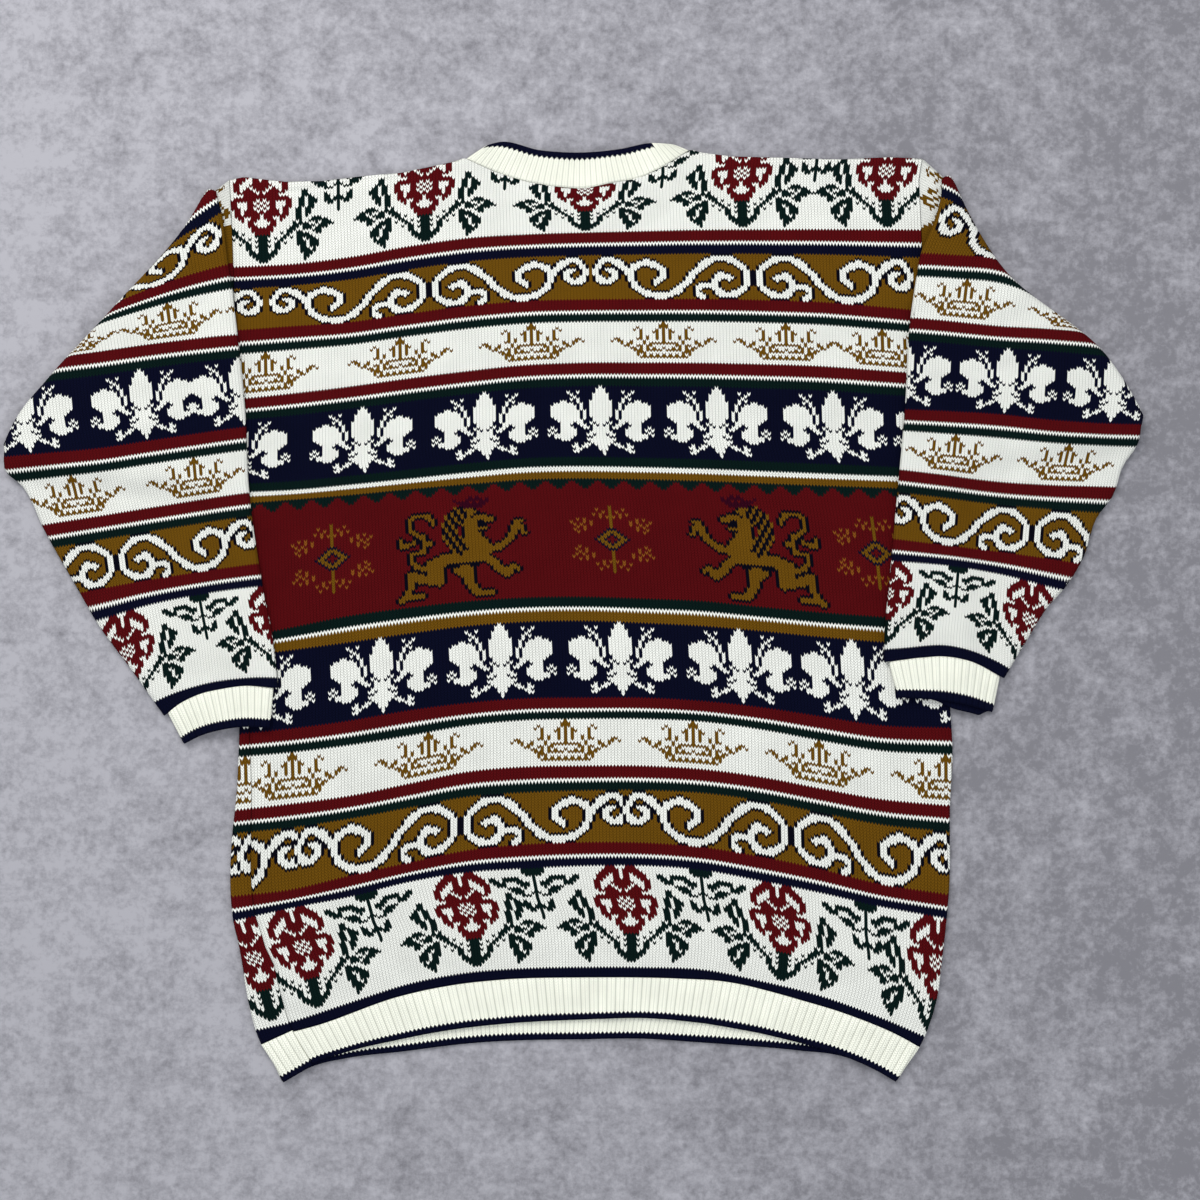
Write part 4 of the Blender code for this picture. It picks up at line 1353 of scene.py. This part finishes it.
def stations(side, start, bend, end):
    """The sleeve's middle, as lines across it with normals."""
    flat = np.zeros((len(bend), 1))
    outward = side * (beside(bend, 1.0) - bend)
    for share in (np.arange(ROOT_STATIONS) / ROOT_STATIONS) ** ROOT_CROWDING:
        yield np.hstack([start * (1 - share) + bend * share, flat + HALF]), UP
    for angle in np.linspace(0, math.pi, FOLD_STATIONS + 1):
        place = bend + outward * FOLD * math.sin(angle)
        height = HALF + FOLD * (1 - math.cos(angle))
        normal = np.hstack([-outward * math.sin(angle), flat + math.cos(angle)])
        yield np.hstack([place, flat + height]), normal
    for s in np.arange(1, LAID_STATIONS + 1) / LAID_STATIONS:
        place = between_edges(s, side, bend, end)
        yield np.column_stack([place, laid_level(*place.T, side)]), -UP


def armhole_line(side, columns):
    """The sleeve's seam with the body, from the shoulder down to the underarm."""
    _, hole = BODY_SIDES[side]
    low, high = hole["y"][0], top_line(hole["x"][-1:], NECK_BACK)[0]
    y = np.linspace(high, low, columns)
    line = np.column_stack([np.interp(y, hole["y"], hole["x"]) + side * (SEAM_DROP - SEAM / 2), y])
    line[-1] += HALF * unit(line[-2] - line[-1])
    return line


print("sections along a sleeve:", ROOT_STATIONS + FOLD_STATIONS + 1 + LAID_STATIONS)

# %% [markdown]
# A folded sleeve's rows are followed like those of the body, with the sleeve's own tables. Its
# stitches are a little wider near the shoulder than near the cuff.

# %% rows of the sleeves
SLEEVE_YARNS, SLEEVE_EDGES, SLEEVE_BANDS = knit_plan(SLEEVE_PLAN)
SLEEVE_ROWS = len(SLEEVE_YARNS)
CUFF_PITCH = 2.45
MORE_PITCH = {-1: 0.27, 1: 0.15}
LEAST_STEP = 0.01
NARROW_FROM, NARROW_OVER = 0.4, 0.3
SLEEVE_MOTIFS = {
    # side: number of the band from the top, motif, its lowest row, and its places across
    -1: ((1, "scroll", 0, (-432, -156)), (2, "crown", 2, (-430, -341, -250)),
         (3, "lily", 1, (-466, -366, -280)), (4, "crown", 2, (-422, -321)),
         (5, "scroll", 0, (-389, -144)), (6, "rose", 2, (-377, -250)), (6, "sprig", 19, (-310,))),
    1: ((1, "scroll", 0, (437, 161)), (2, "crown", 2, (429, 332)),
        (3, "lily", 1, (458, 367, 280)), (4, "crown", 2, (418, 323)),
        (5, "scroll", 0, (391, 146)), (6, "rose", 2, (388, 264)), (6, "sprig", 19, (324,))),
}


def sleeve_pitch(row, side):
    """Width of a stitch, which gets less towards the cuff."""
    narrowed = ease((row / SLEEVE_ROWS - NARROW_FROM) / NARROW_OVER)
    return CUFF_PITCH + MORE_PITCH[side] * (1 - narrowed)


def sleeve_line(number, x, side):
    """Height of one of a sleeve's pattern lines. The last is the seam with the cuff."""
    lines = SLEEVE_LINES[side]
    if number < len(lines):
        return smooth(x, SLEEVE_AT[side], lines[number])
    seam = EDGES[side]["cuff_seam"]
    order = np.argsort(seam["x"])
    return smooth(x, seam["x"][order], seam["y"][order])


def sleeve_row(x, y, side):
    """Number of the row, from the top, at places of a folded sleeve."""
    heights = np.array([sleeve_line(k, x, side) for k in range(len(SLEEVE_PLAN) + 1)])
    group = np.clip((heights > y).sum(0) - 1, 0, len(SLEEVE_PLAN) - 1)
    upper = np.take_along_axis(heights, group[None], 0)[0]
    lower = np.take_along_axis(heights, group[None] + 1, 0)[0]
    at = group + np.clip((upper - y) / np.maximum(upper - lower, LEAST_STEP), 0, 1)
    known = [g + share for g, share in SLEEVE_EDGES]
    return np.interp(at, known, np.arange(SLEEVE_ROWS + 1.0))


def sleeve_letters(side, columns, x_of):
    """The chart of the side that shows."""
    letters = np.repeat(SLEEVE_YARNS[:, None], columns, 1)
    for number, name, base, places in SLEEVE_MOTIFS[side]:
        band = SLEEVE_BANDS[number]
        middle = band[1] + band[2] // 2
        row = x_of[middle]
        order = np.argsort(row)
        for x in places:
            column = np.interp(x, row[order], order.astype(float))
            column += (x - np.clip(x, row.min(), row.max())) / (side * sleeve_pitch(middle, side))
            put(letters, band, MOTIFS[name], column, base)
    return letters


print("rows of a sleeve:", SLEEVE_ROWS, "bands:", SLEEVE_BANDS)

# %% [markdown]
# The outline of the patch that shows is the line round the flat part of the sleeve. A point of the
# patch outside it is brought to the nearest place of the outline and from there round the edge.

# %% turning over the sleeve's edges
ROLL = math.radians(108)
OUTLINE_STEP = 1.5
SOFTENING = 5  # steps over which one radius changes into the other, either way
PAST_CUFF = 10
TINY = 1e-6


def outline(side, bend, end):
    """The line round the flat part, from the cuff up the inner edge, along the fold and down the
    underarm edge, with the radius at which the cloth rolls over at each place."""
    shares = np.arange(LAID_STATIONS + 1) / LAID_STATIONS
    lines = [bend] + [between_edges(s, side, bend, end) for s in shares[1:]]
    inner = np.array([line[0] for line in lines])
    far = np.array([line[-1] for line in lines])
    points = np.concatenate([inner[:0:-1], bend, far[1:]])
    radius = np.full(len(points), HALF)
    radius[len(inner) - 1:len(inner) - 1 + len(bend)] += FOLD
    run = run_along(points)
    fine = np.arange(0, run[-1], OUTLINE_STEP)
    padded = np.pad(np.interp(fine, run, radius), SOFTENING, mode="edge")
    width = 2 * SOFTENING + 1
    soft = np.convolve(padded, np.full(width, 1 / width), "valid")
    return np.column_stack([np.interp(fine, run, points[:, k]) for k in (0, 1)]), soft


def outside_of(points, line):
    """Whether each place lies outside the outline. It is inside where a line from it to the far
    left crosses the outline an odd number of times. The outline's ends are drawn on past the cuff."""
    ends = [line[k] + PAST_CUFF * unit(line[k] - line[n])
            for k, n in ((0, END_STEP), (-1, -1 - END_STEP))]
    ring = np.vstack([ends[0], line, ends[1]])
    (x1, y1), (x2, y2) = ring.T, np.roll(ring, -1, 0).T
    x, y = points[:, :1], points[:, 1:]
    spans = (y1 > y) != (y2 > y)
    at = x1 + (y - y1) * (x2 - x1) / np.where(y1 == y2, 1.0, y2 - y1)
    return (spans & (at < x)).sum(1) % 2 == 0


def rolled(points, line, radii, side):
    """Brings places in plan onto the sleeve's upper side and round its edges."""
    nearest = ((points[:, None] - line[None]) ** 2).sum(-1).argmin(1)
    along = unit(np.gradient(line, axis=0))[nearest]
    r = radii[nearest]
    sideways = ((points - line[nearest]) * along).sum(-1).clip(-OUTLINE_STEP / 2, OUTLINE_STEP / 2)
    edge = line[nearest] + sideways[:, None] * along
    outside = outside_of(points, line)
    away = np.where(outside, np.linalg.norm(points - edge, axis=1), 0)
    out = (points - edge) / np.maximum(away, TINY)[:, None]
    angle = np.clip(away / r, 0, ROLL)
    base = np.where(outside[:, None], edge, points)
    flat = base + out * (r * np.sin(angle))[:, None]
    top = laid_level(*base.T, side) + HALF
    return np.column_stack([flat, top - r * (1 - np.cos(angle))]), angle


print("the shown side rolls over by", round(math.degrees(ROLL)), "degrees")

# %% [markdown]
# The hidden sides are the sections without their upper faces. The part next to the armhole peeps
# out above the fold, and there the first rows of the sleeve show, with the top of a crown.

# %% hidden sides of the sleeves
HIDDEN_INSET = 0.35
HIDDEN_STITCH = 1.3
ROOT_PITCH, ROOT_ROW, ROOT_CROWN_ROWS = 3.0, 2.1, 10  # stitch, row and crown by the armhole
ROOT_CROWN = {-1: 337.0, 1: 350.0}
ROOT_SEEN = 327.0


def hidden_letters(side, x, y):
    """Letters of the hidden sides and of the stitches below, at places of the sleeve's sections."""
    root = (np.arange(len(x)) < ROOT_STATIONS + FOLD_STATIONS // 2)[:, None]
    _, hole = BODY_SIDES[side]
    root_row = np.abs(x - np.interp(y, hole["y"], hole["x"])) / ROOT_ROW
    seen = root & (y > ROOT_SEEN)
    row = np.where(seen, root_row, [sleeve_row(*line, side) for line in zip(x, y)])
    row = np.clip(row, 0, SLEEVE_ROWS - 1).astype(int)
    crown = MOTIFS["crown"]
    across = ((y - ROOT_CROWN[side]) / ROOT_PITCH + crown.shape[1] / 2).astype(int)
    at = np.clip(len(crown) - 1 - row, 0, None), np.clip(across, 0, crown.shape[1] - 1)
    on_crown = seen & (row < ROOT_CROWN_ROWS) & (across == at[1]) & (crown[at] != ".")
    letters = np.where(on_crown, "O", SLEEVE_YARNS[row])
    return letters, np.where(root, letters, SLEEVE_YARNS[np.minimum(row + 1, SLEEVE_ROWS - 1)])


def add_hidden_sides(cloth, side, start, bend, end):
    """Adds the hidden sides, which lie a little inside the patch that shows."""
    loops = np.array([
        section(middle, middle, normals, HALF - HIDDEN_INSET * (k > ROOT_STATIONS))
        for k, (middle, normals) in enumerate(stations(side, start, bend, end))
    ])
    x, y = ((loops[1:, 1:, k] + loops[:-1, 1:, k]) / 2 for k in (0, 1))
    letters, below = hidden_letters(side, x, y)
    rows, columns = loops.shape[:2]
    place = knit_places(HIDDEN_STITCH * np.arange(columns), -HIDDEN_STITCH * np.arange(rows))
    keep = np.full(letters.shape, True)
    upper = SLEEVE_COLUMNS + len(ARC)
    keep[ROOT_STATIONS + FOLD_STATIONS:, upper:upper + SLEEVE_COLUMNS - 1] = False
    cloth.patch(loops, letters, below, place, flip=side > 0, keep=keep)


print("the crown beside each armhole is at y =", ROOT_CROWN[-1], "and", ROOT_CROWN[1])

# %% [markdown]
# Each row of the patch that shows starts at the sleeve's inner edge and runs outwards, a stitch at
# a time, a few stitches past both edges. What would go too far round an edge is left out.

# %% sleeves
PATCH_MARGIN = 4
SLEEVE_WAVES = 1.4
SLEEVE_RAISED = 0.35


def shown_grid(side, columns):
    """Places in plan of the corners of the stitches that show, row by row."""
    arm_top = EDGES[side]["arm_top"]
    order = np.argsort(arm_top["y"])
    steps = np.arange(columns + 1) - PATCH_MARGIN
    grid = []
    for row, (group, share) in enumerate(SLEEVE_EDGES):
        def height(x):
            upper, lower = (sleeve_line(number, x, side) for number in (group, group + 1))
            return upper * (1 - share) + lower * share
        inner = np.array([arm_top["x"].mean()])
        for _ in range(ROUNDS):
            inner = np.interp(height(inner), arm_top["y"][order], arm_top["x"][order])
        across = inner + side * steps * sleeve_pitch(row, side)
        grid.append(np.column_stack([across, height(across)]))
    return np.array(grid)


def add_shown_side(cloth, side, bend, end):
    """Adds the side that shows, stitch by stitch."""
    line, radii = outline(side, bend, end)
    columns = int(np.ptp(line[:, 0]) / sleeve_pitch(0, side)) + 2 * PATCH_MARGIN
    grid = shown_grid(side, columns)
    placed, angle = rolled(grid.reshape(-1, 2), line, radii, side)
    x, y = placed[:, :2].T
    relief = swell(x, y, SLEEVE_CREASES) + SLEEVE_WAVES * waves(x, y) + SLEEVE_RAISED
    placed[:, 2] += relief * np.cos(angle).clip(0)
    placed, gone = placed.reshape(*grid.shape[:2], 3), (angle >= ROLL).reshape(grid.shape[:2])
    hidden = gone[:-1, :-1] & gone[1:, :-1] & gone[1:, 1:] & gone[:-1, 1:]
    letters = sleeve_letters(side, columns, grid[:, :, 0])
    place = knit_places(np.arange(columns + 1.0), SLEEVE_ROWS - np.arange(SLEEVE_ROWS + 1.0))
    cloth.patch(placed, letters, row_below(letters), place, flip=side < 0, keep=~hidden)


def sleeve(name, side):
    """A sleeve. Returns the piece and the line of its seam with the cuff."""
    shares = np.linspace(0, 1, SLEEVE_COLUMNS)
    start = armhole_line(side, SLEEVE_COLUMNS)
    bend = beside(path(EDGES[side]["fold"], shares, HALF), -side * (FOLD + HALF))
    end = path(EDGES[side]["cuff_seam"], shares, HALF)
    cloth = Cloth(name)
    add_hidden_sides(cloth, side, start, bend, end)
    add_shown_side(cloth, side, bend, end)
    return cloth.finished(closed=False), end


sleeve_left, end_left = sleeve("knit_sleeve_left", -1)
sleeve_right, end_right = sleeve("knit_sleeve_right", 1)

# %% [markdown]
# The cuffs are ribbed tubes too, gathered a little where they are sewn on. The underside of the
# right cuff hangs out below its upper side.

# %% cuffs
CUFF_GATHER = 4.0
UNDER_OUT = {-1: 0.0, 1: 6.0}
UNDER_FROM, UNDER_OVER, UNDER_FADE = 0.3, 0.35, 0.12


def cuff(name, side, end):
    """A cuff that starts at the end of a sleeve."""
    shares = np.linspace(0, 1, CUFF_RIBS * ACROSS_RIB + 1)
    seam = beside(resampled(end, shares, CUFF_GATHER), -side * SEAM_DROP)
    tip = path(EDGES[side]["cuff_tip"], shares, HALF)
    under = ease((shares - UNDER_FROM) / UNDER_OVER) * ease((1 - shares) / UNDER_FADE) * UNDER_OUT[side]
    lower = tip + side * under[:, None] * (beside(tip, -1.0) - tip)
    return ribbed_tube(name, (seam, seam.copy()), (tip, lower), CUFF_RIBS,
                       lambda x, y: laid_level(x, y, side), lambda middle: True, CUFF_TIP_ROWS)


cuff_left = cuff("rib_cuff_left", -1, end_left)
cuff_right = cuff("rib_cuff_right", 1, end_right)

# %% [markdown]
# The look of the wool is worked out with shader nodes. A small class stands for a node's output and
# takes the usual signs, so that the maths can be written as formulas.

# %% shader maths
class Node:
    """The output of a shader node, with the usual signs for arithmetic."""

    tree = None

    def __init__(self, socket):
        self.socket = socket

    @classmethod
    def make(cls, kind, settings=(), output=0, **inputs):
        """A new node with its settings, and the values or links of its sockets. A socket is given
        by its name, or by its number as in i0."""
        node = cls.tree.nodes.new("ShaderNode" + kind)
        for name, value in dict(settings).items():
            setattr(node, name, value)
        for name, value in inputs.items():
            target = node.inputs[int(name[1:]) if name[1:].isdigit() else name]
            if isinstance(value, cls):
                cls.tree.links.new(value.socket, target)
            else:
                target.default_value = value
        return cls(node.outputs[output])

    def maths(self, operation, *others, clamp=False):
        """A Math node that starts from this output."""
        settings = dict(operation=operation, use_clamp=clamp)
        return self.make("Math", settings, **{f"i{k}": v for k, v in enumerate((self, *others))})

    def __add__(self, other):
        return self.maths("ADD", other)

    def __sub__(self, other):
        return self.maths("SUBTRACT", other)

    def __mul__(self, other):
        return self.maths("MULTIPLY", other)

    def __pow__(self, other):
        return self.maths("POWER", other)

    __radd__, __rmul__ = __add__, __mul__

    def __rsub__(self, other):
        return self.maths("MULTIPLY_ADD", -1.0, other)

    def fract(self):
        """What is left once whole numbers are taken away."""
        return self.maths("FRACT")


def mixed(factor, a, b, blend="MIX"):
    """A mix of two colours."""
    return Node.make("Mix", dict(data_type="RGBA", blend_type=blend), output=2, i0=factor, i6=a, i7=b)


def new_material(name):
    """A material whose nodes the class makes next. Returns it with its shader."""
    material = bpy.data.materials.new(name)
    material.use_nodes = True
    Node.tree = material.node_tree
    return material, material.node_tree.nodes["Principled BSDF"]


def feed(value, shader, socket):
    """Links a value to a socket of the shader."""
    Node.tree.links.new(value.socket, shader.inputs[socket])


print("signs that work on nodes: + - * **")

# %% [markdown]
# Wool scatters light among its fibres. Each stitch is a V of two leaning legs: the shader works
# out how far along a leg a place is, rounds the leg off, paints shade into the colour on the legs'
# sides and in the grooves, and lets the colour change along the legs, so that the edge of a motif
# has the small teeth of real knitting.

# %% knitted wool
LEAN = 0.95  # rows that a leg climbs from the middle of its stitch to the side
TOOTH = 9.0  # how sharply one yarn's colour ends and the next begins
LEG_END = 5.0  # how abruptly a leg ends at the side of its stitch
LEG_START = 0.65  # how high it is in the middle of the stitch
LEG_ROUND = 0.6
# how narrow the painted shade in the grooves between ribs is
RIB_GROOVE_SHADE_SHARP = 3.0
FUZZ_SCALE, FUZZ_TONE, FUZZ_RISE = 1400.0, 0.17, 0.3
PATCHY_SCALE, PATCHY_TONE = 38.0, 0.11
LEAST_ROUGH, MORE_ROUGH = 0.8, 0.14
BUMP_STRENGTH = 0.75
WOOL_SHINE = 0.03


def varied(noise, share):
    """Tones that a noise makes up to a share darker or lighter."""
    return noise * (2 * share) + (1 - share)


def wool(name, depth, leg_groove_shade, rib_groove_shade, bright):
    """Knitted wool whose stitches follow the piece's own stitch coordinates. Shade is painted into
    its colour: the grooves between legs keep only a share of the light, and those between ribs lose
    a share of it, as the third and fourth arguments give."""
    material, shader = new_material(name)
    uv = Node.make("UVMap", dict(uv_map="stitches"))
    u = Node.make("SeparateXYZ", Vector=uv)
    v = Node(u.socket.node.outputs[1])
    side = (u.fract() * 2.0 - 1.0).maths("ABSOLUTE")
    lean = side * LEAN
    own = ((v.fract() - lean) * TOOTH + 0.5).maths("ADD", 0.0, clamp=True)
    leg = ((v - lean).fract() * math.pi).maths("SINE")
    across = (1.0 - side ** LEG_END) * (side * (1 - LEG_START) + LEG_START)
    rib = (u * (math.pi / 2)).maths("SINE").maths("ABSOLUTE")
    height = (leg ** LEG_ROUND) * across
    place = Node.make("TexCoord", output=3)
    fuzz = Node.make("TexNoise", Vector=place, Scale=FUZZ_SCALE, Detail=3.0, Roughness=0.7)
    patchy = Node.make("TexNoise", Vector=place, Scale=PATCHY_SCALE, Detail=2.0)
    # Painted shade: the colour darkens on the sides of each leg and in the grooves between legs and between
    # ribs; the two noises add the yarn's random tone.
    light = (height * (1.0 - leg_groove_shade) + leg_groove_shade) * varied(fuzz, FUZZ_TONE) * varied(patchy, PATCHY_TONE)
    light = light * (1.0 - (1.0 - rib) ** RIB_GROOVE_SHADE_SHARP * rib_groove_shade) * bright
    yarn = mixed(own, Node.make("Attribute", dict(attribute_name="below")),
                 Node.make("Attribute", dict(attribute_name="yarn")))
    grey = Node.make("CombineColor", i0=light, i1=light, i2=light)
    color = mixed(1.0, yarn, grey, blend="MULTIPLY")
    feed(color, shader, "Base Color")
    feed(fuzz * MORE_ROUGH + LEAST_ROUGH, shader, "Roughness")
    relief = height + fuzz * FUZZ_RISE
    bump = Node.make("Bump", Strength=BUMP_STRENGTH, Distance=depth * MM, Height=relief)
    feed(bump, shader, "Normal")
    shader.inputs["Specular IOR Level"].default_value = WOOL_SHINE
    return material


KNIT = wool("patterned_knit", depth=0.7, leg_groove_shade=0.3, rib_groove_shade=0.0, bright=1.2)
RIB = wool("rib_knit", depth=0.6, leg_groove_shade=0.55, rib_groove_shade=0.22, bright=1.134)
print("nodes of the two looks:", len(KNIT.node_tree.nodes), len(RIB.node_tree.nodes))

# %% [markdown]
# The sweater lies on a plain pale floor. Three noises, from broad clouds to fine specks, mottle it,
# and painted shade makes it a little darker towards the right.

# %% floor
FLOOR_SIZE = 8
FLOOR_LEVEL = -0.0004
FLOOR_DARK = (0.17, 0.167, 0.185, 1)
FLOOR_LIGHT = (0.345, 0.34, 0.37, 1)
FLOOR_SHADE = 0.62
FLOOR_DARKER = 1.95
FLOOR_ROUGH, FLOOR_SHINE = 0.85, 0.15
FLOOR_NOISES = (
    # scale, detail, roughness, weight
    (9.0, 6.0, 0.68, 1.3),
    (45.0, 5.0, 0.7, 2.0),
    (150.0, 3.0, 0.7, 1.6),
)


def painted_floor():
    """The floor with its mottled paint, and painted shade that darkens it towards the right."""
    bpy.ops.object.select_all(action="DESELECT")
    bpy.ops.mesh.primitive_plane_add(size=FLOOR_SIZE, location=(0, 0, FLOOR_LEVEL))
    plane = bpy.context.object
    plane.name = "floor"
    paint, shader = new_material("pale_floor")
    where = Node.make("TexCoord", output=3)
    x = Node.make("SeparateXYZ", Vector=where)
    clouds, mottle, speckle = (
        Node.make("TexNoise", Vector=where, Scale=scale, Detail=detail, Roughness=rough) * weight
        for scale, detail, rough, weight in FLOOR_NOISES
    )
    # Painted shade: the floor's colour darkens towards +X.
    tone = clouds + mottle + speckle - x * FLOOR_SHADE - FLOOR_DARKER
    feed(mixed(tone, FLOOR_DARK, FLOOR_LIGHT), shader, "Base Color")
    shader.inputs["Roughness"].default_value = FLOOR_ROUGH
    shader.inputs["Specular IOR Level"].default_value = FLOOR_SHINE
    plane.data.materials.append(paint)
    return plane


floor = painted_floor()
print("floor:", tuple(floor.dimensions))

# %% [markdown]
# A broad light over the neck, a weak one from the other side and a soft sky give the even light of
# a room, and the camera looks straight down from above the middle of the photo's view.

# %% lights and camera
LIGHTS = (
    # name, place, size, power, colour
    ("window", (-0.7, 1.5, 1.7), 1.3, 39, (1.0, 0.985, 0.96)),
    ("room", (1.3, -0.9, 2.0), 2.2, 15, (0.95, 0.97, 1.0)),
)
SKY_COLOR, SKY_STRENGTH = (0.93, 0.96, 1.0, 1), 0.82
CAMERA_PLACE = (0.023, 0.0106, 2.2)
CLOTH_TOP = 0.005
VIEW_WIDTH = 1.02  # what the picture shows across, in metres, at the cloth's top
SENSOR = 36


def area_light(name, place, size, power, color):
    """A soft square light that points at the middle of the sweater."""
    lamp = bpy.data.lights.new(name, "AREA")
    lamp.shape, lamp.size, lamp.energy, lamp.color = "SQUARE", size, power, color
    holder = bpy.data.objects.new(name, lamp)
    holder.location = place
    holder.rotation_euler = (-Vector(place)).to_track_quat("-Z", "Y").to_euler()
    bpy.context.collection.objects.link(holder)


for light in LIGHTS:
    area_light(*light)
world = bpy.data.worlds.new("sky")
bpy.context.scene.world = world
world.use_nodes = True
sky = world.node_tree.nodes["Background"].inputs
sky["Color"].default_value, sky["Strength"].default_value = SKY_COLOR, SKY_STRENGTH
bpy.context.scene.view_settings.view_transform = "Standard"

lens = bpy.data.cameras.new("camera")
camera = bpy.data.objects.new("camera", lens)
camera.location = CAMERA_PLACE
lens.sensor_width = SENSOR
lens.lens = SENSOR * (CAMERA_PLACE[2] - CLOTH_TOP) / VIEW_WIDTH
bpy.context.collection.objects.link(camera)
bpy.context.scene.camera = camera
print("lens:", round(lens.lens, 1), "mm")

# %% [markdown]
# Every piece replaces the solid that it was built on. The table also gives the size that each sheet
# of cloth was knitted to, in metres, all round where it is a tube, and the area of panels and
# sleeves, because they are far from rectangles.

# %% pieces and sheets
PIECES = (
    # piece, solid, look, width and length of the cut, its area, what it lies on
    (back, "back_panel", KNIT, (0.62, 0.77), 0.43, ("knit_front",)),
    (front, "front_panel", KNIT, (0.62, 0.77), 0.42, ("floor",)),
    (sleeve_left, "sleeve_left", KNIT, (0.50, 0.52), 0.18, ("knit_back", "floor")),
    (sleeve_right, "sleeve_right", KNIT, (0.50, 0.52), 0.18, ("knit_back", "floor")),
    (hem_back, "hem_rib_back", RIB, (0.60, 0.04), None, ("rib_hem_front",)),
    (hem_front, "hem_rib_front", RIB, (0.60, 0.04), None, ("floor",)),
    (band, "neckband", RIB, (0.45, 0.03), None, ("floor",)),
    (cuff_left, "cuff_left", RIB, (0.19, 0.035), None, ("knit_back", "floor")),
    (cuff_right, "cuff_right", RIB, (0.19, 0.035), None, ("knit_back", "floor")),
)
for piece, node, look, flat, area, under in PIECES:
    piece.data.materials.append(look)
    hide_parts(node)
    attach(piece, "root")
    "patterned_knit" if look == KNIT else "rib_knit"
    list(under)
floor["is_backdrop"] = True

# %% [markdown]
# The box of the finished pieces is printed, as the box of the solids was at the start. They
# differ only by the soft folds.

# %% size and finish
box_at_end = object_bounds()
[[list(corner) for corner in box] for box in (box_at_start, box_at_end)]
print("box of the visual model:", [tuple(round(v, 4) for v in corner) for corner in box_at_end])
